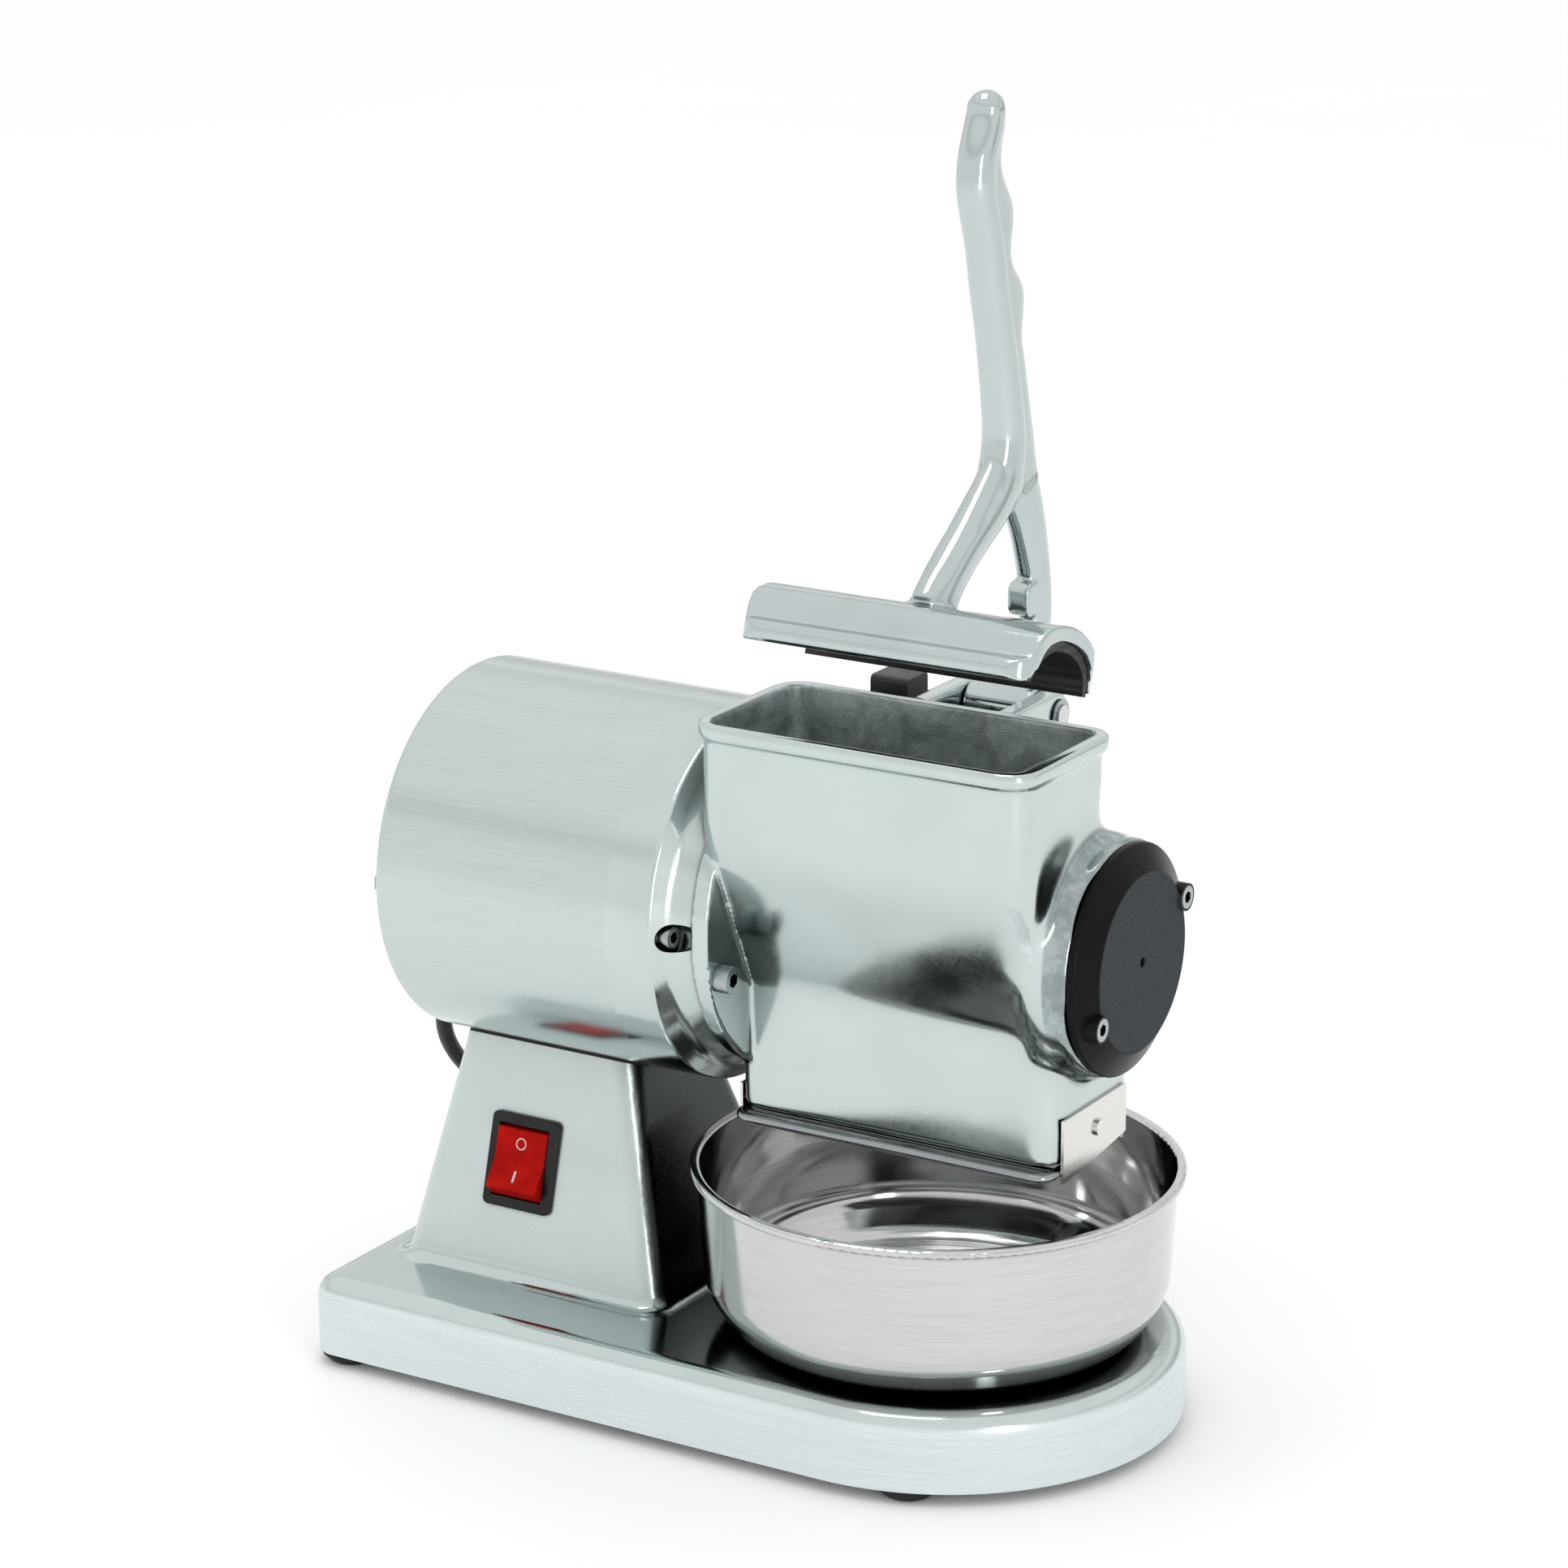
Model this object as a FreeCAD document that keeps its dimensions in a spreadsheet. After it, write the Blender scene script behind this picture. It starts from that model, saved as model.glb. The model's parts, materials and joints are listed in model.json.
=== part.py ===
import FreeCAD, Part
import math
import os

# Drum-type shaved ice machine: parametric assembly, millimetres.
# Frame: +X along the motor axis towards the drum's end cap, +Y to the back, +Z up.
# Origin: middle of the base's footprint, on the surface that the feet stand on.

V = FreeCAD.Vector

# ----------------------------------------------------------------------------
# Driving dimensions
# ----------------------------------------------------------------------------

SIZES = {
    # base casting
    "base_left": -161, "base_half_width": 91.5, "base_end_centre": 69.5,
    "base_bottom": 5, "base_top": 35, "base_edge_round": 8, "base_corner_round": 12,
    "base_wall": 4,
    # pedestal that carries the motor barrel
    "pedestal_left": -143.5, "pedestal_right": -25, "pedestal_half_depth": 53,
    "pedestal_lean": 15, "pedestal_left_draft": 0.165, "pedestal_right_draft": 0.3,
    "pedestal_loft_top": 140, "pedestal_round": 9, "pedestal_wall": 4,
    "pedestal_room_top": 110, "pedestal_seam_round": 7,
    # motor barrel, along X
    "axis_height": 191, "barrel_radius": 72.5, "barrel_wall": 4.5,
    "barrel_left": -138, "barrel_seam": -34, "shoulder": -15, "gasket": 1.2,
    # joint between motor flange and hopper
    "joint_plane": -3, "ring_radius": 63.5, "ring_thick": 7.5,
    # hopper casting
    "hopper_right": 132, "hopper_front": -60, "hopper_back": 8.5, "rim_top": 273,
    "hopper_round": 10.5, "hopper_wall": 3, "chute_half": 31.5, "chute_bottom": 117.5,
    "crease_height": 167, "chamber_radius": 38.6, "chamber_bore": 32,
    "collar_radius": 44, "collar_end": 142,
    # end cap
    "cap_radius": 43.2, "cap_disc_radius": 33.6, "cap_thick": 8.3, "cap_screw_circle": 36.2,
    # drum and shaft
    "drum_radius": 30, "drum_left": 6, "drum_right": 124, "shaft_radius": 8.5,
    # press lever
    "hinge_back": 46, "hinge_height": 263.5, "lever_mid": 68, "pin_radius": 4,
    "press_left": 5.5, "press_right": 126, "press_tilt": 17.5,
    # bowl
    "bowl_centre": 66.5, "bowl_rim_radius": 93, "bowl_top": 99, "bowl_lift": 0.3,
    "bowl_sheet": 1.0,
    # rocker switch
    "switch_at": -93, "switch_height": 79, "bezel_wide": 30.5, "bezel_tall": 36.5,
    "rocker_wide": 22.4, "rocker_tall": 28,
    # feet and cord
    "foot_radius": 12, "cord_diameter": 6.5,
}

doc = FreeCAD.newDocument("ShavedIceMachine")
sheet = doc.addObject("Spreadsheet::Sheet", "Sizes")
for row, (alias, number) in enumerate(SIZES.items(), start=1):
    sheet.set("A%d" % row, alias)
    sheet.set("B%d" % row, str(number))
    sheet.setAlias("B%d" % row, alias)
doc.recompute()


class Size(float):
    """A number that remembers the sheet formula it comes from."""

    def __new__(cls, number, formula=None):
        made = super().__new__(cls, number)
        made.formula = formula or repr(float(number))
        return made

    def _join(self, other, sign, number):
        return Size(number, "(%s %s %s)" % (self.formula, sign, formula_of(other)))

    def __add__(self, other):
        return self._join(other, "+", float(self) + float(other))

    def __sub__(self, other):
        return self._join(other, "-", float(self) - float(other))

    def __mul__(self, other):
        return self._join(other, "*", float(self) * float(other))

    def __truediv__(self, other):
        return self._join(other, "/", float(self) / float(other))

    def __neg__(self):
        return Size(-float(self), "(0 - %s)" % self.formula)

    def __radd__(self, other):
        return as_size(other) + self

    def __rsub__(self, other):
        return as_size(other) - self

    def __rmul__(self, other):
        return as_size(other) * self


def as_size(number):
    return number if isinstance(number, Size) else Size(number)


def formula_of(number):
    return as_size(number).formula


class Sheet:
    """The sheet's cells as Size values: S.base_top and so on."""

    def __getattr__(self, alias):
        return Size(float(sheet.get(alias)), "Sizes." + alias)


S = Sheet()
NODES = []


def bind(obj, prop, number):
    """Tie a property to the sheet where its number comes from the sheet."""
    if isinstance(number, Size) and "Sizes." in number.formula:
        obj.setExpression(prop, number.formula)
    else:
        path = prop.split(".")
        if len(path) == 1:
            setattr(obj, prop, float(number))
        else:
            obj.setExpression(prop, repr(float(number)))


def node(obj, name):
    """Register a finished sub-part under the name of its file."""
    obj.Label = name
    NODES.append(obj)
    return obj


def place(obj, at, rotation=None):
    """Put an object at a point, with its coordinates tied to the sheet."""
    obj.Placement = FreeCAD.Placement(V(*[float(c) for c in at]),
                                      rotation or FreeCAD.Rotation())
    for letter, number in zip("xyz", at):
        if isinstance(number, Size) and "Sizes." in number.formula:
            obj.setExpression("Placement.Base." + letter, number.formula)
    return obj


def towards(direction):
    """Rotation that takes +Z to a direction."""
    return FreeCAD.Rotation(V(0, 0, 1), V(*direction))


# ----------------------------------------------------------------------------
# Part primitives and booleans
# ----------------------------------------------------------------------------

def cylinder(name, radius, height, at, direction=(0, 0, 1)):
    obj = doc.addObject("Part::Cylinder", name)
    bind(obj, "Radius", radius)
    bind(obj, "Height", height)
    return place(obj, at, towards(direction))


def box(name, low, high):
    obj = doc.addObject("Part::Box", name)
    for prop, a, b in zip(("Length", "Width", "Height"), low, high):
        bind(obj, prop, as_size(b) - a)
    return place(obj, low)


def hexagon(name, across_corners, height, at, direction=(0, 0, 1)):
    obj = doc.addObject("Part::Prism", name)
    obj.Polygon = 6
    bind(obj, "Circumradius", across_corners / 2)
    bind(obj, "Height", height)
    return place(obj, at, towards(direction))


def fuse(name, parts):
    obj = doc.addObject("Part::MultiFuse", name)
    obj.Shapes = parts
    obj.Refine = True
    return obj


def cut(name, base, tools):
    tool = tools[0] if len(tools) == 1 else fuse(name + "_tools", tools)
    obj = doc.addObject("Part::Cut", name)
    obj.Base = base
    obj.Tool = tool
    obj.Refine = True
    return obj


def common(name, parts):
    obj = doc.addObject("Part::MultiCommon", name)
    obj.Shapes = parts
    return obj


def group(name, parts):
    """One node of separate solids."""
    obj = doc.addObject("Part::Compound", name)
    obj.Links = parts
    return node(obj, name)


def shape_feature(name, shape):
    """A free-form piece whose shape is worked out in code."""
    obj = doc.addObject("Part::Feature", name)
    obj.Shape = shape
    return obj


# ----------------------------------------------------------------------------
# Sketches: closed outlines whose corners are tied to the sheet
# ----------------------------------------------------------------------------

def role_plane(body, role):
    return [f for f in body.Origin.OriginFeatures if f.Role == role][0]


def new_body(name):
    return doc.addObject("PartDesign::Body", name)


def new_sketch(body, name, role, offset=0):
    sketch = body.newObject("Sketcher::SketchObject", name)
    sketch.AttachmentSupport = [(role_plane(body, role), "")]
    sketch.MapMode = "FlatFace"
    sketch.AttachmentOffset = FreeCAD.Placement(V(0, 0, float(offset)), FreeCAD.Rotation())
    if isinstance(offset, Size):
        sketch.setExpression("AttachmentOffset.Base.z", offset.formula)
    return sketch


def tie(sketch, constraint, number):
    index = sketch.addConstraint(constraint)
    if isinstance(number, Size) and "Sizes." in number.formula:
        sketch.setExpression("Constraints[%d]" % index, number.formula)
    return index


def pin_point(sketch, geo, pos, u, v):
    """Fix a point of a sketch by its two distances from the origin."""
    import Sketcher
    for kind, number in (("DistanceX", u), ("DistanceY", v)):
        axis = -2 if kind == "DistanceX" else -1
        if abs(float(number)) < 1e-9:
            sketch.addConstraint(Sketcher.Constraint("PointOnObject", geo, pos, axis))
        else:
            constraint = Sketcher.Constraint(kind, geo, pos, float(number))
            tie(sketch, constraint, number)


def outline(sketch, corners):
    """Closed outline through corners (u, v) or (u, v, radius)."""
    import Sketcher
    flat = [V(float(c[0]), float(c[1]), 0) for c in corners]
    count = len(corners)
    ends = []
    for i, corner in enumerate(corners):
        before = (flat[i - 1] - flat[i]).normalize()
        after = (flat[(i + 1) % count] - flat[i]).normalize()
        if len(corner) < 3:
            ends.append((flat[i], flat[i], None))
            continue
        half = before.getAngle(after) / 2
        reach = float(corner[2]) / math.tan(half)
        centre = flat[i] + (before + after).normalize() * (float(corner[2]) / math.sin(half))
        ends.append((flat[i] + before * reach, flat[i] + after * reach, centre))
    lines = []
    for i in range(count):
        line = Part.LineSegment(ends[i][1], ends[(i + 1) % count][0])
        lines.append(sketch.addGeometry(line, False))
    for i, corner in enumerate(corners):
        into, away = lines[i - 1], lines[i]
        start, end, centre = ends[i]
        if centre is None:
            sketch.addConstraint(Sketcher.Constraint("Coincident", into, 2, away, 1))
            pin_point(sketch, away, 1, corner[0], corner[1])
            continue
        left_turn = (start - centre).cross(end - centre).z > 0
        first, last = (start, end) if left_turn else (end, start)
        angles = [math.atan2(p.y - centre.y, p.x - centre.x) for p in (first, last)]
        circle = Part.Circle(centre, V(0, 0, 1), float(corner[2]))
        arc = sketch.addGeometry(Part.ArcOfCircle(circle, angles[0], angles[1]), False)
        spot = sketch.addGeometry(Part.Point(flat[i]), True)
        sketch.addConstraint(Sketcher.Constraint("Tangent", into, 2, arc, 1 if left_turn else 2))
        sketch.addConstraint(Sketcher.Constraint("Tangent", away, 1, arc, 2 if left_turn else 1))
        sketch.addConstraint(Sketcher.Constraint("PointOnObject", spot, 1, into))
        sketch.addConstraint(Sketcher.Constraint("PointOnObject", spot, 1, away))
        tie(sketch, Sketcher.Constraint("Radius", arc, float(corner[2])), corner[2])
        pin_point(sketch, spot, 1, corner[0], corner[1])
    return sketch


def ring_sketch(sketch, u, v, radius):
    import Sketcher
    circle = sketch.addGeometry(Part.Circle(V(float(u), float(v), 0), V(0, 0, 1), float(radius)))
    tie(sketch, Sketcher.Constraint("Radius", circle, float(radius)), radius)
    pin_point(sketch, circle, 3, u, v)
    return sketch


def rectangle(u_low, u_high, v_low, v_high, radius=None):
    corners = [(u_low, v_low), (u_high, v_low), (u_high, v_high), (u_low, v_high)]
    return corners if radius is None else [c + (radius,) for c in corners]


def pad(body, sketch, length, name, backwards=False):
    feature = body.newObject("PartDesign::Pad", name)
    feature.Profile = sketch
    bind(feature, "Length", length)
    feature.Reversed = backwards
    return feature


def pocket(body, sketch, length, name, backwards=False):
    feature = body.newObject("PartDesign::Pocket", name)
    feature.Profile = sketch
    bind(feature, "Length", length)
    feature.Reversed = backwards
    return feature


def round_edges(body, base, radius, wanted, name):
    """Fillet every edge that the test picks out."""
    doc.recompute()
    picked = ["Edge%d" % (i + 1) for i, edge in enumerate(base.Shape.Edges) if wanted(edge)]
    feature = body.newObject("PartDesign::Fillet", name)
    feature.Base = (base, picked)
    bind(feature, "Radius", radius)
    doc.recompute()
    return feature


def loft(body, sketches, name, subtract=False):
    kind = "PartDesign::SubtractiveLoft" if subtract else "PartDesign::AdditiveLoft"
    feature = body.newObject(kind, name)
    feature.Profile = sketches[0]
    feature.Sections = sketches[1:]
    feature.Ruled = True
    return feature


def turned(name, profile, at=(0, 0, 0), axis="x"):
    """A solid of revolution: profile corners are (along the axis, radius).

    For axis z they are (radius, height)."""
    body = new_body(name)
    sketch = new_sketch(body, name + "_profile", "XZ_Plane")
    outline(sketch, profile)
    feature = body.newObject("PartDesign::Revolution", name + "_turn")
    feature.Profile = sketch
    feature.ReferenceAxis = (sketch, ["H_Axis" if axis == "x" else "V_Axis"])
    feature.Angle = 360
    body.Tip = feature
    return place(body, at)


def turned_on_axis(name, profile):
    """A turned piece on the motor's axis."""
    return turned(name, profile, (0, 0, S.axis_height))


def extruded(name, role, corners, offset, length, at=(0, 0, 0)):
    body = new_body(name)
    sketch = outline(new_sketch(body, name + "_outline", role, offset), corners)
    body.Tip = pad(body, sketch, length, name + "_pad")
    return place(body, at)


# ----------------------------------------------------------------------------
# Fasteners
# ----------------------------------------------------------------------------

def socket_screw(name, thread, length, at, direction):
    """Socket head screw: at is the underside of the head, direction its shank."""
    radius = thread / 2 - 0.05
    head = cylinder(name + "_head", thread * 0.85, thread, (0, 0, -thread))
    shank = cylinder(name + "_shank", radius, length, (0, 0, 0))
    socket = hexagon(name + "_socket", thread * 0.95, thread * 0.6, (0, 0, -thread))
    screw = cut(name, fuse(name + "_solid", [head, shank]), [socket])
    return place(screw, at, towards(direction))


def pan_screw(name, thread, length, at, direction):
    """Cross-recess pan head screw."""
    radius = thread / 2 - 0.05
    head = cylinder(name + "_head", thread * 0.95, thread * 0.6, (0, 0, -thread * 0.6))
    shank = cylinder(name + "_shank", radius, length, (0, 0, 0))
    arm, wide, deep = thread * 0.5, thread * 0.1, thread * 0.35
    bars = [box(name + "_slot_a", (-arm, -wide, -thread), (arm, wide, -thread * 0.6 + deep)),
            box(name + "_slot_b", (-wide, -arm, -thread), (wide, arm, -thread * 0.6 + deep))]
    screw = cut(name, fuse(name + "_solid", [head, shank]), bars)
    return place(screw, at, towards(direction))


def on_axis(radius, degrees, x):
    """Point at a radius about the motor axis; 0 degrees is +Y, 90 is up."""
    turn = math.radians(degrees)
    return (x, radius * math.cos(turn), S.axis_height + radius * math.sin(turn))


# ----------------------------------------------------------------------------
# Base casting with pedestal
# ----------------------------------------------------------------------------

LEAN = math.tan(math.radians(float(S.pedestal_lean)))
FEET = [(-148.5, -78.5), (-148.5, 78.5), (97, -74), (97, 74)]
PLATE_SCREWS = [(-148, 0), (-20, -80), (-20, 80), (146, 0)]
MOUNT_SCREWS = [-112, -72]
FACE_TURN = FreeCAD.Rotation(V(1, 0, 0), -float(S.pedestal_lean))


def pedestal_section(body, name, height, inset=0):
    """Rectangle of the pedestal at one height; its faces lean in going up."""
    rise = as_size(height) - S.base_top
    low_u = S.pedestal_left + rise * S.pedestal_left_draft + inset
    high_u = S.pedestal_right - rise * S.pedestal_right_draft - inset
    half = S.pedestal_half_depth - rise * LEAN - inset
    sketch = new_sketch(body, name, "XY_Plane", as_size(height))
    return outline(sketch, rectangle(low_u, high_u, -half, half, S.pedestal_round - inset))


def slab(body, name, height, length, inset=0, remove=False):
    """Rectangle with a round right end, added or removed upwards from a height."""
    half = S.base_half_width - inset
    flat = new_sketch(body, name + "_flat", "XY_Plane", height)
    outline(flat, rectangle(S.base_left + inset, S.base_end_centre, -half, half))
    disc = new_sketch(body, name + "_disc", "XY_Plane", height)
    ring_sketch(disc, S.base_end_centre, 0, half)
    for sketch, suffix in ((flat, "_a"), (disc, "_b")):
        if remove:
            feature = pocket(body, sketch, length, name + suffix, backwards=True)
        else:
            feature = pad(body, sketch, length, name + suffix)
    return feature


def switch_point(across, out, up):
    """A point given in the switch's own frame on the leaning front face."""
    face_y = -float(S.pedestal_half_depth) + (float(S.switch_height) - float(S.base_top)) * LEAN
    centre = V(float(S.switch_at), face_y, float(S.switch_height))
    return centre + FACE_TURN.multVec(V(across, -out, up))


def switch_frame(obj):
    """Move a piece that was built round the origin, facing -Y, onto the leaning face."""
    frame = FreeCAD.Placement(switch_point(0, 0, 0), FACE_TURN)
    obj.Placement = frame.multiply(obj.Placement)
    return obj


def base_casting():
    body = new_body("base_body")
    slab_top = slab(body, "slab", S.base_bottom, S.base_top - S.base_bottom)
    left = float(S.base_left)
    corners = round_edges(body, slab_top, S.base_corner_round,
                          lambda e: e.BoundBox.XMax < left + 1 and e.BoundBox.ZLength > 20,
                          "slab_corners")
    top = float(S.base_top)
    round_edges(body, corners, S.base_edge_round, lambda e: e.BoundBox.ZMin > top - 0.1,
                "slab_top_round")
    foot = pedestal_section(body, "pedestal_foot", S.base_top - 1)
    head = pedestal_section(body, "pedestal_head", S.pedestal_loft_top)
    tower = loft(body, [foot, head], "pedestal")
    doc.recompute()
    round_edges(body, tower, S.pedestal_seam_round,
                lambda e: abs(e.BoundBox.ZMin - top) < 0.05 and e.BoundBox.ZLength < 0.05
                and e.BoundBox.XMin > left + 12 and e.BoundBox.XMax < 0
                and abs(e.BoundBox.Center.y) < 60, "pedestal_seam")
    saddle = new_sketch(body, "saddle", "YZ_Plane", -160)
    ring_sketch(saddle, 0, S.axis_height, S.barrel_radius + S.gasket)
    pocket(body, saddle, 200, "saddle_cut", backwards=True)
    slab(body, "hollow", S.base_bottom - 1, S.base_top - S.base_bottom - S.base_wall + 1,
         S.base_wall, remove=True)
    low = pedestal_section(body, "room_foot", S.base_top - S.base_wall - 1, S.pedestal_wall)
    high = pedestal_section(body, "room_head", S.pedestal_room_top, S.pedestal_wall)
    loft(body, [low, high], "pedestal_room", subtract=True)
    doc.recompute()

    posts = []
    for i, (x, y) in enumerate(FEET + PLATE_SCREWS):
        height = S.base_top - S.base_wall - S.base_bottom - 2.5
        posts.append(cylinder("post_%d" % i, 5, height, (x, y, S.base_bottom + 3)))
    solid = fuse("base_solid", [body] + posts)
    holes = [cylinder("post_hole_%d" % i, 2.0, 14, (x, y, S.base_bottom + 2))
             for i, (x, y) in enumerate(FEET + PLATE_SCREWS)]
    for x in MOUNT_SCREWS:
        holes.append(cylinder("saddle_hole_%d" % x, 3.1, 20, (x, 0, S.pedestal_room_top - 5)))
    holes.append(cylinder("wire_hole", 6, 20, (-92, 0, S.pedestal_room_top - 5)))
    wide, tall = float(S.rocker_wide) / 2 + 1.7, float(S.rocker_tall) / 2 + 1.5
    window = box("switch_window", (-wide, -5, -tall), (wide, 16, tall))
    holes.append(switch_frame(window))
    return node(cut("base", solid, holes), "base_casting")


base = base_casting()

# closing plate, screws and feet under the base
plate_body = new_body("plate_body")
slab(plate_body, "plate", S.base_bottom + 1, 1.5, S.base_wall + 0.3)
doc.recompute()
plate_holes = [cylinder("plate_hole_%d" % i, 2.1, 6, (x, y, S.base_bottom - 1))
               for i, (x, y) in enumerate(FEET + PLATE_SCREWS)]
node(cut("plate_cut", plate_body, plate_holes), "bottom_plate")
group("bottom_plate_screws", [pan_screw("plate_screw_%d" % i, 4, 9,
                                        (x, y, S.base_bottom + 0.95), (0, 0, 1))
                              for i, (x, y) in enumerate(PLATE_SCREWS)])


def rubber_foot(index, x, y):
    top = S.base_bottom + 0.95
    foot = turned("foot_body_%d" % index,
                  [(2.3, top), (6.5, top), (6.5, top - 1), (S.foot_radius, top - 1),
                   (S.foot_radius, 3, 1.5), (9, 0, 2), (4.6, 0), (4.6, 3), (2.3, 3)],
                  (x, y, 0), axis="z")
    return foot


group("rubber_feet", [rubber_foot(i, x, y) for i, (x, y) in enumerate(FEET)])
group("foot_screws", [pan_screw("foot_screw_%d" % i, 4, 12, (x, y, 2.95), (0, 0, 1))
                      for i, (x, y) in enumerate(FEET)])

# ----------------------------------------------------------------------------
# Saddle gasket and the screws that hold the barrel
# ----------------------------------------------------------------------------

gasket_block = new_body("gasket_block")
loft(gasket_block, [pedestal_section(gasket_block, "gasket_low", S.pedestal_room_top + 2),
                    pedestal_section(gasket_block, "gasket_high", S.pedestal_loft_top)],
     "gasket_loft")
gasket_sleeve = cut("gasket_sleeve",
                    cylinder("gasket_outer", S.barrel_radius + S.gasket - 0.02, 200,
                             (-160, 0, S.axis_height), (1, 0, 0)),
                    [cylinder("gasket_inner", S.barrel_radius + 0.02, 200,
                              (-160, 0, S.axis_height), (1, 0, 0))])
gasket_strip = common("gasket_strip", [gasket_block, gasket_sleeve])
gasket_holes = [cylinder("gasket_hole_%d" % x, 3.2, 20, (x, 0, 110)) for x in MOUNT_SCREWS]
gasket_holes.append(cylinder("gasket_wire_hole", 6, 20, (-92, 0, 110)))
node(cut("gasket_cut", gasket_strip, gasket_holes), "barrel_gasket")
group("barrel_mount_screws", [socket_screw("mount_screw_%d" % x, 6, 12.5,
                                           (x, 0, S.pedestal_room_top - 0.05), (0, 0, 1))
                              for x in MOUNT_SCREWS])

# ----------------------------------------------------------------------------
# Motor
# ----------------------------------------------------------------------------

TIE_CIRCLE = 64.0
TIE_ANGLES = [180, 0]
GLAND_DROP = 42.0

shell = turned_on_axis("shell_tube", [
    (S.barrel_left, S.barrel_radius, 3), (S.barrel_left, S.barrel_radius - S.barrel_wall),
    (S.barrel_seam, S.barrel_radius - S.barrel_wall), (S.barrel_seam, S.barrel_radius)])
shell_holes = [cylinder("shell_hole_%d" % x, 3.0, 12, (x, 0, 112)) for x in MOUNT_SCREWS]
shell_holes.append(cylinder("shell_wire_hole", 6, 12, (-92, 0, 112)))
node(cut("shell_cut", shell, shell_holes), "motor_shell")


def motor_rear_cover():
    """Pressed-in end cover with a ring of air slots, a bearing seat and the cord's hole."""
    radius = S.barrel_radius - S.barrel_wall - 0.02
    left = S.barrel_left + 1.5
    disc = turned_on_axis("cover_disc", [
        (left, 0.0), (left, radius, 1), (left + 9, radius), (left + 9, radius - 3),
        (left + 3.5, radius - 3), (left + 3.5, 22), (left + 20, 22), (left + 20, 17.52),
        (left + 7, 17.52), (left + 7, 0.0)])
    slots = []
    for i in [n for n in range(12) if n not in (8, 9)]:
        slot = box("air_slot_%d" % i, (-2, 28, -2.2), (8, 52, 2.2))
        turn = FreeCAD.Rotation(V(1, 0, 0), 15 + 30 * i)
        hub = FreeCAD.Placement(V(float(left), 0, float(S.axis_height)), turn)
        slot.Placement = hub.multiply(slot.Placement)
        slots.append(slot)
    holes = [cylinder("cover_tie_%d" % a, 2.6, 20, on_axis(TIE_CIRCLE, a, left - 5), (1, 0, 0))
             for a in TIE_ANGLES]
    gland_hole = cylinder("gland_hole", 6.0, 24, (left - 8, 0, S.axis_height - GLAND_DROP),
                          (1, 0, 0))
    return node(cut("cover_cut", disc, slots + holes + [gland_hole]), "motor_rear_cover")


motor_rear_cover()

flange_turned = turned_on_axis("flange_turned", [
    (S.barrel_seam - 6, S.barrel_radius - S.barrel_wall - 0.02),
    (S.barrel_seam, S.barrel_radius - S.barrel_wall - 0.02),
    (S.barrel_seam, S.barrel_radius), (S.shoulder, S.barrel_radius, 2),
    (S.shoulder + 5, S.ring_radius + 2.5, 9), (S.joint_plane, S.ring_radius - 1.5),
    (S.joint_plane, 13), (S.joint_plane - 9, 13), (S.joint_plane - 9, 20.02),
    (S.joint_plane - 23, 20.02), (S.joint_plane - 23, 26), (S.joint_plane - 8, 26),
    (S.joint_plane - 8, 56, 4), (S.barrel_seam - 6, S.barrel_radius - S.barrel_wall - 9)])
flange_cuts = []
for angle in TIE_ANGLES:
    flange_cuts.append(cylinder("tie_pocket_%d" % angle, 5.4, 20,
                                on_axis(TIE_CIRCLE + 1.0, angle, S.shoulder + 1), (1, 0, 0)))
    flange_cuts.append(cylinder("tie_hole_%d" % angle, 2.6, 40,
                                on_axis(TIE_CIRCLE, angle, S.barrel_seam - 8), (1, 0, 0)))
RING_SCREW_ANGLES = [196.5, 286.5, 16.5, 106.5]
RING_SCREW_CIRCLE = 56.5
for angle in RING_SCREW_ANGLES:
    flange_cuts.append(cylinder("tap_%d" % angle, 3.0, 9,
                                on_axis(RING_SCREW_CIRCLE, angle, S.joint_plane - 8.5), (1, 0, 0)))
node(cut("flange_cut", flange_turned, flange_cuts), "motor_front_flange")


def tie_screw(angle):
    head_at = on_axis(TIE_CIRCLE, angle, S.shoulder + 1)
    screw = socket_screw("tie_%d" % angle, 5, 124, head_at, (-1, 0, 0))
    nut = cut("tie_nut_%d" % angle,
              hexagon("tie_nut_body_%d" % angle, 9.2, 4,
                      on_axis(TIE_CIRCLE, angle, S.barrel_left - 2.55), (1, 0, 0)),
              [cylinder("tie_nut_bore_%d" % angle, 2.5, 6,
                        on_axis(TIE_CIRCLE, angle, S.barrel_left - 4), (1, 0, 0))])
    return [screw, nut]


group("motor_tie_screws", [piece for angle in TIE_ANGLES for piece in tie_screw(angle)])

STACK = (-100, -50)
node(turned_on_axis("stator_core_body", [(STACK[0], 36), (STACK[1], 36), (STACK[1], 58),
                                         (STACK[0], 58)]), "stator_core")
group("stator_windings", [
    turned_on_axis("winding_left", [(STACK[0] - 13, 39, 3), (STACK[0] - 0.1, 39),
                                    (STACK[0] - 0.1, 55), (STACK[0] - 13, 55, 3)]),
    turned_on_axis("winding_right", [(STACK[1] + 0.1, 39), (STACK[1] + 10, 39, 3),
                                     (STACK[1] + 10, 55, 3), (STACK[1] + 0.1, 55)])])
node(turned_on_axis("rotor_body", [(STACK[0], S.shaft_radius + 0.02),
                                   (STACK[1], S.shaft_radius + 0.02),
                                   (STACK[1], 35.4), (STACK[0], 35.4)]), "rotor_core")


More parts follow.
